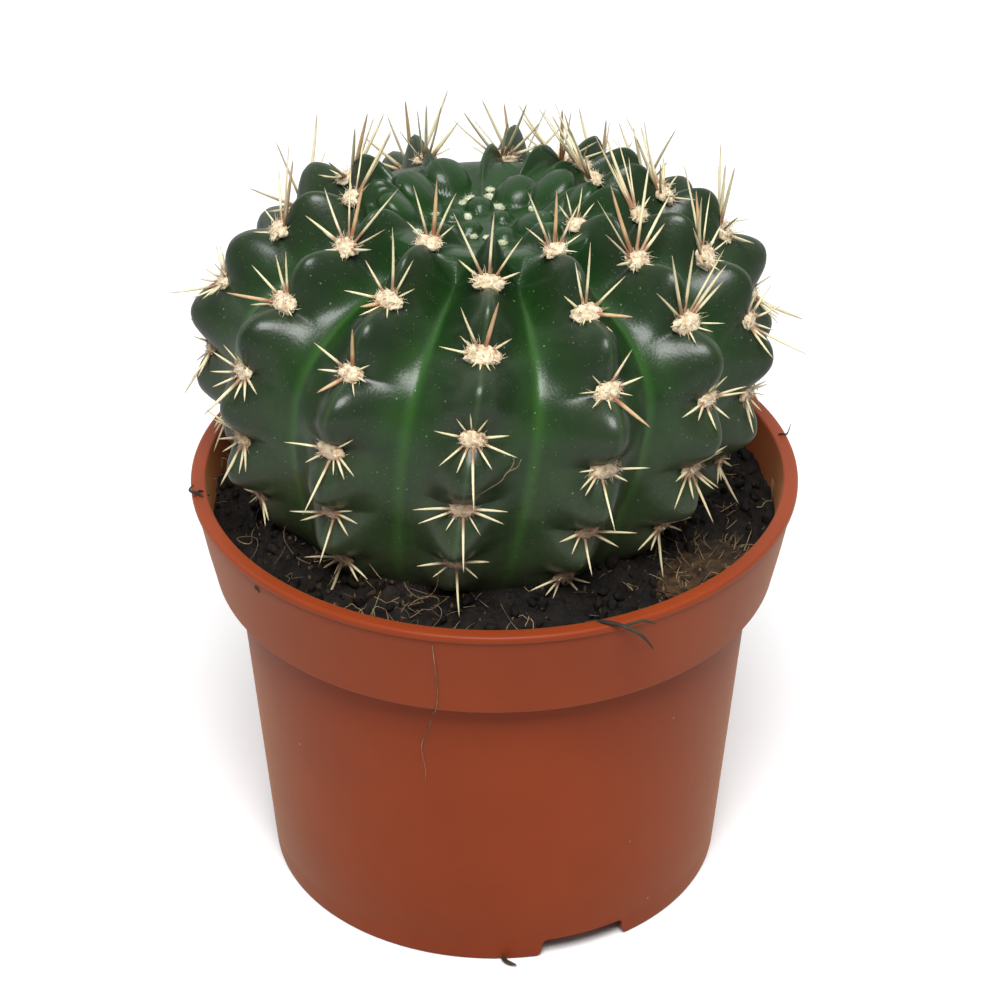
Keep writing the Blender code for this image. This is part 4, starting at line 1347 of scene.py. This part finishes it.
def lay_spine(seat, out, heading, thickness, chance):
    """One spine, whose foot is off the middle of its seat towards the side that it points to."""
    sideways = heading - out * heading.dot(out)
    spread = min(0.28 * heading.length, FOOT_SPREAD)
    foot = seat + out * SPINE_LIFT + sideways.normalized() * spread
    bend = Vector([chance.uniform(-0.05, 0.05) for _ in range(3)]) + out * chance.uniform(-0.03, 0.06)
    path = curve_path(foot, heading, heading.length - 0.4 * spread, bend)
    tone = STOUT_TONE if thickness == STOUT else chance.uniform(0.0, 0.25)
    return lay_rod(spine_rod, path, SPINE_RADIUS * thickness * chance.uniform(0.9, 1.1), tone)


def dress_areole(rib, row, chance):
    """Pad and spines of one areole, joined to one object. Above and below the pad the spines stand off
    the skin more, to clear the humps."""
    distance = AREOLE_ROWS[rib][row]
    kind = kind_of(distance)
    frame_of = areole_frame(rib, distance)
    out = frame_of.to_3x3() @ Vector((0.0, 0.0, 1.0))
    pieces = [lay_pad(frame_of, PAD_SIZES[kind], chance)]
    seen = FRONT_SPINES.get((rib, row))
    for direction, length, thickness in seen or KIND_SPINES[kind]:
        length *= MM
        is_long = length > LONG_SPINE
        lift = 0.2 + 0.6 * abs(math.cos(math.radians(direction))) + (0.15 if is_long else 0.0)
        if seen:
            heading = seen_heading(out, direction, length, lift)
        elif chance.random() < MISSING_SHARE:
            continue
        else:
            length *= chance.uniform(0.85, 1.15)
            direction += chance.gauss(0.0, DIRECTION_SPREAD)
            heading = kind_heading(frame_of, direction, length, lift * chance.uniform(0.8, 1.3))
            thickness = chance.choice((thickness, thickness, THICKER)) if is_long else thickness
        pieces.append(lay_spine(frame_of.translation, out, heading, thickness, chance))
    return join(pieces)


def areole_name(rib, row):
    return f"areole_rib{rib + 1:02d}_row{row}"


ROWS_IN_FRAME = (1, 2, 3, 4)
for rib in range(RIBS):
    for row in ROWS_IN_FRAME:
        dressed = dress_areole(rib, row, random.Random(100 * rib + row))
        node = areole_name(rib, row)
        register(dressed, node.replace("areole", "spines"), "areole_felt_and_spines", node)

# %% [markdown]
# The frame has four areoles on each rib. The plant has more: small young ones in the crown, above them,
# and old ones near the soil, below them. They are dressed in the same way and joined by height.


# %% Youngest and oldest areoles
CLEAR_OF_SOIL = 9.0 * MM


def dress_more(name, rows):
    dressed = []
    for rib in range(RIBS):
        for row in rows:
            distance = AREOLE_ROWS[rib].get(row)
            if distance and stem_point(rib, 0.0, distance).z > SOIL_HEIGHT + CLEAR_OF_SOIL:
                dressed.append(dress_areole(rib, row, random.Random(100 * rib + row)))
    register(join(dressed), name, "areole_felt_and_spines")


dress_more("young_areoles", (0,))
dress_more("low_areoles", (5, 6))

# %% [markdown]
# ## Wool in the crown
# White wool fills the gaps between the young tubercles. Each tuft is a small copy of a felt pad in a
# whiter felt, pushed down between its neighbours. Each is placed by its azimuth and its distance from
# the growing point.

# %% Crown wool
# Tufts of wool: (azimuth, distance from the growing point in mm, size).
WOOL_SPOTS = (
    (183, 12.2, 0.5),
    (217, 9.6, 0.5),
    (134, 4.6, 0.42),
    (297, 2.6, 0.4),
    (150, 17.6, 0.55),
    (237, 19.4, 0.5),
    (317, 19.8, 0.4),
    (26, 11.6, 0.4),
    (269, 12.4, 0.42),
    (172, 4.9, 0.34),
    (316, 7.6, 0.36),
    (93, 13.2, 0.5),
    (44, 20.4, 0.5),
    (226, 11.2, 0.4),
    (24, 4.7, 0.3),
    (176, 15.2, 0.36),
    (110, 11.0, 0.32),
)
WOOL_SHARE = 0.85  # the size of a tuft of size 1, in felt pads
WOOL_LIFT = 0.4 * MM
SEARCH_STEP = 0.6  # in mm, between the places that are tried
CROWN_RISE = 25.0 * MM  # of the crown above the equator, for the twist of the ribs
CROWN_TURN = 10.0  # degrees that the ribs have turned aside at the back of the crown, about


def crown_place(azimuth, distance):
    """Place on the crown at an azimuth in degrees, once the ribs have turned aside."""
    turned_aside = rear_spiral(math.radians(azimuth - CROWN_TURN), distance)
    azimuth -= math.degrees(turned_aside + CROWN_RISE * STEM_TWIST)
    azimuth %= 360.0
    for rib in range(RIBS):
        start_azimuth = RIB_AZIMUTHS[rib]
        end_azimuth = RIB_AZIMUTHS[rib + 1] if rib + 1 < RIBS else RIB_AZIMUTHS[0] + 360.0
        if start_azimuth <= azimuth < end_azimuth or (rib == RIBS - 1 and azimuth >= start_azimuth):
            share = (azimuth - start_azimuth) / (end_azimuth - start_azimuth)
            near = share <= 0.5
            place = (rib, 2.0 * share) if near else ((rib + 1) % RIBS, -2.0 * (1.0 - share))
            return stem_point(*place, distance)
    raise ValueError("no rib at this azimuth")


def gap_near(azimuth, distance):
    """The lowest place of the crown within a short way of this one, whose distance is in mm."""
    tried = []
    for side in range(-4, 5):
        aside = math.degrees(SEARCH_STEP * side / max(distance, 3.0))
        for along in range(-3, 4):
            further = distance + SEARCH_STEP * along
            if further > 0.5:
                tried.append(crown_place(azimuth + aside, further * MM))
    return min(tried, key=lambda point: point.z)


def make_crown_wool():
    chance = random.Random(5)
    tufts = []
    for azimuth, distance, size in WOOL_SPOTS:
        tuft = copy_of(chance.choice(pads))
        place = gap_near(azimuth, distance) + Vector((0.0, 0.0, WOOL_LIFT * size))
        tilts = (chance.uniform(-0.3, 0.3), chance.uniform(-0.3, 0.3), math.radians(azimuth))
        size *= WOOL_SHARE
        scaled = Matrix.Diagonal((size, size, 1.2 * size, 1.0))
        tuft.data.transform(Matrix.Translation(place) @ Euler(tilts).to_matrix().to_4x4() @ scaled)
        tufts.append(tuft)
    wool = join(tufts)
    wool.data.materials.clear()
    wool.data.materials.append(white_felt_material)
    return wool


register(make_crown_wool(), "crown_wool", "white_felt", "apex_wool")

# %% [markdown]
# ## The soil
# Peat fills the pot from its floor almost to the lip, with a hollow for the buried half of the stem. It
# is one closed skin: it starts under the stem, comes up along it, runs outwards over the lumpy surface,
# and goes down the pot's wall and back under. At the stem the surface is piled up a little, and along
# the wall it has sunk.

# %% Model the soil
SOIL_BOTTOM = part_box("soil")[0].z
SOIL_LINES = 640
SOIL_RINGS = 104
SOCKET_SHARE = 0.08  # share of the rings in the hollow under the stem
SURFACE_SHARE = 0.84  # share of the rings from there to the pot's wall
PILE_HEIGHT = 6.5 * MM
PILE_WIDTH = 15.0 * MM
CONTACT_HEIGHT = SOIL_HEIGHT + 6.0 * MM  # where the piled soil meets the skin
WALL_DIP = 1.2 * MM
WALL_GAP = 0.15 * MM


def stem_waist(height):
    """Middle and radius of the smooth stem at a height."""
    share = (height - STEM_EQUATOR) / STEM_LOWER
    middle = STEM_CENTRE + Vector((STEM_LEAN * (height - STEM_EQUATOR), 0.0, height))
    return middle, STEM_RADIUS * math.sqrt(max(1.0 - share * share, 0.0))


def soil_height(point):
    """Height of the surface at a point, from piles, clods, crumbs and grains."""
    middle, waist = stem_waist(CONTACT_HEIGHT)
    flat = Vector((point.x, point.y, 0.0))
    from_stem = (flat - Vector((middle.x, middle.y, 0.0))).length - waist
    from_wall = RIM_RADIUS - LIP_WIDTH - flat.length
    height = SOIL_HEIGHT + PILE_HEIGHT * smooth_step(1.0 - from_stem / PILE_WIDTH)
    height -= WALL_DIP * smooth_step(1.0 - from_wall / (5 * MM))
    height += 1.5 * MM * noise.noise(flat / (8.0 * MM))
    height += 1.1 * MM * noise.noise(flat / (3.4 * MM) + Vector((3.0, 0.0, 0.0)))
    height += 0.7 * MM * abs(noise.noise(flat / (1.5 * MM) + Vector((0.0, 5.0, 0.0))))
    return height + 0.35 * MM * noise.noise(flat / (0.7 * MM) + Vector((0.0, 0.0, 9.0)))


def soil_place(turn, down):
    azimuth = math.tau * turn
    if down <= SOCKET_SHARE:
        lowest = STEM_EQUATOR - STEM_LOWER - 0.8 * MM
        share = down / SOCKET_SHARE
        middle, waist = stem_waist(lowest + (SOIL_HEIGHT + 1.0 * MM - lowest) * share)
        return middle + around(azimuth, (waist + 0.6 * MM) * min(1.0, 6.0 * share), 0.0)
    middle, waist = stem_waist(CONTACT_HEIGHT)
    inner = Vector((middle.x, middle.y, 0.0)) + around(azimuth, waist - 2.2 * MM, 0.0)
    if down <= SURFACE_SHARE:
        outer = around(azimuth, mouth_radius(SOIL_HEIGHT - WALL_DIP) - WALL_GAP, 0.0)
        point = inner.lerp(outer, (down - SOCKET_SHARE) / (SURFACE_SHARE - SOCKET_SHARE))
        point.z = soil_height(point)
        return point
    share = (down - SURFACE_SHARE) / (1.0 - SURFACE_SHARE)
    shelf = BAND_FOOT_HEIGHT + WALL + WALL_GAP
    outline = [(mouth_radius(shelf), shelf), (wall_radius(shelf) - WALL, shelf - 1.2 * MM)]
    outline += [(wall_radius(SOIL_BOTTOM) - WALL, SOIL_BOTTOM), (0.0, SOIL_BOTTOM)]
    corner = min(int(share * 4), 3)
    edge = around(azimuth, mouth_radius(SOIL_HEIGHT - WALL_DIP) - WALL_GAP, 0.0)
    before = (edge.xy.length, soil_height(edge)) if corner == 0 else outline[corner - 1]
    within = share * 4 - corner
    radius = before[0] + (outline[corner][0] - before[0]) * within
    height = before[1] + (outline[corner][1] - before[1]) * within
    return around(azimuth, max(radius - WALL_GAP, 0.0), height)


soil = roll_sheet("soil", SOIL_LINES, SOIL_RINGS, soil_place)
smooth(soil, 60.0)
print("soil:", len(soil.data.vertices), "points")


# %% Finish of the soil
def make_peat(name, light, dark, fibre, fibre_share):
    material, tree, shader, place = new_material(name, 0.9)
    base = effect(tree, MOTTLE, Vector=place, Scale=420.0, Light=light, Dark=dark, Contrast=0.2)
    sockets = {"Vector": place, "Rotation": (0.4, 0.2, 0.7), "Scale": (1.0, 0.25, 1.0)}
    drawn_out = add_node(tree, "ShaderNodeMapping", sockets).outputs[0]
    bits = effect(tree, SPECKLE, Vector=drawn_out, Scale=900.0, Share=fibre_share, Size=0.3)
    base = blend(tree, bits, base, fibre)
    shade = effect(tree, MOTTLE, Vector=place, Scale=60.0, Light=grey(1.0), Dark=grey(0.45), Contrast=0.25)
    sockets = {0: 1.0, MIX_A: base, MIX_B: shade}
    shaded = add_node(tree, "ShaderNodeMix", sockets, data_type="RGBA", blend_type="MULTIPLY")
    damp = effect(tree, GRAIN, Vector=place, Scale=700.0, Coarse_Share=0.8)
    finish_surface(tree, shader, shaded.outputs[MIX_RESULT], damp, 0.62, 1.0)
    shader.inputs["Specular IOR Level"].default_value = 0.25
    crumbs = effect(tree, GRAIN, Vector=place, Scale=1600.0, Coarse_Share=0.5)
    relief(tree, shader, crumbs, 0.9, 0.5 * MM)
    return material


peat_material = make_peat("dark_peat", colour(34, 25, 16), colour(8, 6, 4), colour(104, 82, 54), 0.14)
coir_material = make_peat("brown_coir", colour(84, 61, 38), colour(34, 23, 14), colour(132, 104, 72), 0.2)
soil.data.materials.append(peat_material)
register(soil, "soil_surface", "peat", "soil")

# %% [markdown]
# ## Crumbs on the soil
# Loose crumbs lie everywhere on the peat, and some are pale brown bits of coir. Four crumbs are modelled
# from a ball of triangles whose corners are pushed in and out. They are strewn by chance, smaller ones
# more often than large ones, and each sinks a little into the surface.


# %% Model and strew the crumbs
CLEAR_OF_WALL = 1.6 * MM


def make_crumb(seed):
    crumb = start(bpy.ops.mesh.primitive_ico_sphere_add, subdivisions=2, radius=1.0)
    shift = Vector((seed * 4.0, seed * 1.0, 2.0))
    for vertex in crumb.data.vertices:
        wide = 0.5 * noise.noise(1.4 * vertex.co + shift)
        close = 0.3 * noise.noise(3.6 * vertex.co + shift)
        vertex.co = vertex.co * (1.0 + wide + close)
    smooth(crumb, 60.0)
    crumb.hide_render = True
    return crumb


crumbs = [make_crumb(seed) for seed in (1, 2, 3, 4)]


def lay_crumb(chance, place, size):
    """A chance crumb, turned at random and pressed flatter two ways."""
    piece = copy_of(chance.choice(crumbs))
    turned = Euler([chance.uniform(0, math.tau) for _ in range(3)]).to_matrix().to_4x4()
    flat = Matrix.Diagonal((size, size * chance.uniform(0.5, 0.9), size * chance.uniform(0.4, 0.8), 1.0))
    piece.data.transform(Matrix.Translation(place) @ turned @ flat)
    return piece


def place_on_soil(chance, azimuth=None):
    """A chance place on the surface between the stem and the wall."""
    azimuth = chance.uniform(0.0, math.tau) if azimuth is None else azimuth
    middle, waist = stem_waist(CONTACT_HEIGHT)
    inner = Vector((middle.x, middle.y, 0.0)) + around(azimuth, waist, 0.0)
    outer = around(azimuth, RIM_RADIUS - LIP_WIDTH - CLEAR_OF_WALL, 0.0)
    point = inner.lerp(outer, chance.random())
    point.z = soil_height(point)
    return point


def strew(name, slot, material, count, seed, smallest, largest, azimuths=None):
    """Strews crumbs all round, or in heaps at some azimuths, each with its own spread in degrees."""
    chance = random.Random(seed)
    pieces = []
    for _ in range(count):
        azimuth = math.radians(chance.gauss(*chance.choice(azimuths))) if azimuths else None
        size = smallest + (largest - smallest) * chance.random() ** 2.5
        place = place_on_soil(chance, azimuth) + Vector((0.0, 0.0, 0.25 * size))
        pieces.append(lay_crumb(chance, place, size))
    strewn = join(pieces)
    strewn.data.materials.append(material)
    register(strewn, name, slot)


strew("peat_crumbs", "peat", peat_material, 560, 21, 0.35 * MM, 1.9 * MM)
strew("coir_crumbs", "coir", coir_material, 130, 22, 0.3 * MM, 1.2 * MM, [(55, 14), (-35, 20), (150, 60)])

# %% [markdown]
# ## The lump of coir
# At the right a lump of matted coconut fibre lies on the peat. It starts as a ball of small triangles,
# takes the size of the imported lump, and is broken up by bumps of four sizes. Short fibres stick out.

# %% Model the lump
CLUMP_CENTRE = Vector((39.5 * MM, -27.5 * MM, 80.7 * MM))
CLUMP_HALF_SIZE = Vector((12.0 * MM, 7.4 * MM, 3.6 * MM))
CLUMP_TURN = math.radians(40.0)
FIBRES_IN_CLUMP = 170
FIBRE_SINK = 0.98  # how far out in the lump a fibre's foot is


def make_clump():
    clump = start(bpy.ops.mesh.primitive_ico_sphere_add, subdivisions=6, radius=1.0)
    turned = Matrix.Rotation(CLUMP_TURN, 3, "Z")
    for vertex in clump.data.vertices:
        out = vertex.co.normalized()
        lump = 1.0 + 0.26 * noise.noise(1.6 * out) + 0.12 * noise.noise(4.5 * out)
        lump += 0.07 * noise.noise(11.0 * out) + 0.035 * noise.noise(26.0 * out)
        vertex.co = turned @ stretch(out * lump, CLUMP_HALF_SIZE) + CLUMP_CENTRE
    smooth(clump, 60.0)
    clump.data.materials.append(coir_material)
    chance = random.Random(8)
    fibres = [clump]
    for _ in range(FIBRES_IN_CLUMP):
        out = chance_outward(chance, 0.0)
        foot = CLUMP_CENTRE + turned @ stretch(out, CLUMP_HALF_SIZE) * FIBRE_SINK
        heading = 0.5 * out + chance_vector(chance).cross(out)
        bend = 0.5 * chance_vector(chance)
        path = curve_path(foot, heading, chance.uniform(1.2, 4.0) * MM, bend)
        fibres.append(lay_rod(fibre_rod, path, chance.uniform(0.05, 0.1) * MM))
    return join(fibres)


def make_fibre_material(name, light, dark):
    material, tree, shader, place = new_material(name, 0.8)
    base = effect(tree, MOTTLE, Vector=place, Scale=260.0, Light=light, Dark=dark, Contrast=0.2)
    tree.links.new(base, shader.inputs["Base Color"])
    rough = effect(tree, GRAIN, Vector=place, Scale=2000.0, Coarse_Share=0.4)
    relief(tree, shader, rough, 0.3, 0.05 * MM)
    return material


pale_fibre_material = make_fibre_material("pale_fibre", colour(158, 136, 102), colour(84, 68, 48))
dark_twig_material = make_fibre_material("dark_twig", colour(62, 52, 34), colour(30, 26, 18))
fibre_rod = wool_rod.copy()
fibre_rod.data = wool_rod.data.copy()
fibre_rod.data.materials[0] = pale_fibre_material
root_rod.data.materials.append(pale_fibre_material)
register(make_clump(), "coir_lump", "coir", "soil_clump")

# %% [markdown]
# ## Fibres and hair roots
# Thin pale fibres lie across the peat in all directions, and a few hair roots curl up out of it, most of
# them in front, left of the middle. Each is a rod laid along its own wandering line.


# %% Strew the fibres
FIBRES_ON_SOIL = 260
ROOTS = 26
ROOTS_IN_FRONT = 20  # of these, the number that lie left of the front


def make_fibres():
    chance = random.Random(31)
    pieces = []
    for _ in range(FIBRES_ON_SOIL):
        foot = place_on_soil(chance) + Vector((0.0, 0.0, 0.1 * MM))
        heading = (chance.uniform(-1, 1), chance.uniform(-1, 1), chance.uniform(-0.1, 0.3))
        bend = Vector((chance.uniform(-0.5, 0.5), chance.uniform(-0.5, 0.5), -0.1))
        path = curve_path(foot, heading, chance.uniform(1.5, 5.5) * MM, bend)
        pieces.append(lay_rod(fibre_rod, path, chance.uniform(0.04, 0.1) * MM))
    return join(pieces)


def kept_in_pot(path):
    """The same line, held off the pot's wall and above the soil."""

    def kept(along):
        point = path(along)
        reach = min(point.xy.length, RIM_RADIUS - LIP_WIDTH - 1.5 * MM)
        point.xy = point.xy.normalized() * reach
        point.z = max(point.z, soil_height(point) + 0.1 * MM)
        return point

    return kept


def make_roots():
    chance = random.Random(37)
    pieces = []
    for count in range(ROOTS):
        in_front = count < ROOTS_IN_FRONT
        azimuth = chance.gauss(-24.0, 14.0) if in_front else chance.uniform(-100.0, 100.0)
        foot = place_on_soil(chance, math.radians(azimuth)) + Vector((0.0, 0.0, 0.3 * MM))
        heading = (chance.uniform(-1, 1), chance.uniform(-0.6, 0.6), chance.uniform(0.0, 0.25))
        path = wander_path(foot, heading, chance.uniform(5.0, 11.0) * MM, 0.9, 50 + count)
        pieces.append(lay_rod(root_rod, kept_in_pot(path), chance.uniform(0.05, 0.1) * MM))
    return join(pieces)


register(make_fibres(), "peat_fibres", "peat")
register(make_roots(), "hair_roots", "peat")

# %% [markdown]
# ## Loose bits on the pot
# A dark twig hangs over the lip in front, a little to the right. A curl of root sits on the lip at the
# left and a splinter on it at the right, a crumb sticks to the band, one long hair root is stuck to the
# outside of the wall, and a short black stub lies at the foot of the pot.


# %% Lay the loose bits
HAIR_ROOT_RADIUS = 0.09 * MM


def through(points):
    """A smooth line through some points, given in mm."""
    places = [Vector(point) * MM for point in points]

    def path(along):
        share = along * (len(places) - 1)
        here = min(int(share), len(places) - 2)
        before, after = places[max(here - 1, 0)], places[min(here + 2, len(places) - 1)]
        start_at, end_at, part = places[here], places[here + 1], share - here
        lean_in, lean_out = 0.5 * (end_at - before), 0.5 * (after - start_at)
        square, cube = part * part, part * part * part
        place = start_at * (2 * cube - 3 * square + 1) + lean_in * (cube - 2 * square + part)
        return place + end_at * (3 * square - 2 * cube) + lean_out * (cube - square)

    return path


def make_twigs():
    """The bits on the lip and the stub at the foot, as (points, radius)."""
    twigs = [
        (((17.0, -52.5, 86.0), (20.5, -55.2, 88.1), (24.5, -57.0, 88.1), (27.6, -57.6, 86.4),
          (29.6, -57.4, 83.4)), 0.42),
        (((24.0, -56.6, 88.1), (27.5, -55.4, 88.5), (30.0, -55.6, 87.9)), 0.3),
        (((-55.4, -12.6, 86.2), (-57.6, -10.8, 88.0), (-59.6, -9.6, 88.2), (-59.0, -7.0, 88.0)), 0.3),
        (((-56.0, -8.6, 86.4), (-57.6, -9.6, 88.1), (-58.8, -11.8, 88.1)), 0.22),
        (((55.6, 13.4, 86.0), (57.4, 12.0, 88.0), (58.6, 11.4, 88.4), (59.4, 12.4, 90.2)), 0.2),
        (((1.6, -46.2, 1.0), (2.6, -47.4, 0.8), (4.4, -48.4, 0.8)), 0.45),
    ]
    pieces = []
    for points, radius in twigs:
        rod = lay_rod(root_rod, through(points), radius * MM)
        rod.data.materials[0] = dark_twig_material
        pieces.append(rod)
    return join(pieces)


def make_stuck_crumb():
    """A dark crumb on the pot's band, left of the front."""
    crumb = lay_crumb(random.Random(3), Vector((-44.4, -38.2, 84.3)) * MM, 1.3 * MM)
    crumb.data.materials.append(dark_twig_material)
    return crumb


def make_root_on_skin():
    """A short branched root that dried onto the skin in the first groove right of the front."""
    branches = (
        ((5.0, -50.2, 120.4), (4.1, -50.8, 118.9), (2.4, -51.9, 118.6), (1.3, -52.6, 117.2),
         (-0.9, -54.9, 117.0), (-2.2, -55.9, 116.6)),
        ((2.8, -51.7, 118.8), (3.6, -51.0, 120.2), (3.4, -51.1, 121.6)),
    )
    return join([lay_rod(root_rod, through(points), HAIR_ROOT_RADIUS) for points in branches])


def make_root_on_wall():
    points = ((-11.4, -58.6, 85.0), (-10.6, -56.4, 73.3), (-11.0, -55.2, 67.9), (-11.6, -50.2, 64.0),
              (-12.4, -49.6, 60.0), (-13.9, -49.0, 55.2), (-13.2, -48.6, 49.0), (-13.4, -48.1, 44.0))
    return lay_rod(root_rod, through(points), HAIR_ROOT_RADIUS)


register(make_twigs(), "twigs", "peat")
register(make_stuck_crumb(), "crumb_on_band", "peat")
register(make_root_on_skin(), "root_on_skin", "peat")
register(make_root_on_wall(), "root_on_wall", "peat")

# %% [markdown]
# ## Put the patterns away
# The rods, pads and crumbs that the copies were made from are not part of the plant, so they go.

# %% Put the patterns away
for pattern in [spine_rod, wool_rod, root_rod, fibre_rod] + pads + crumbs:
    bpy.data.objects.remove(pattern, do_unlink=True)
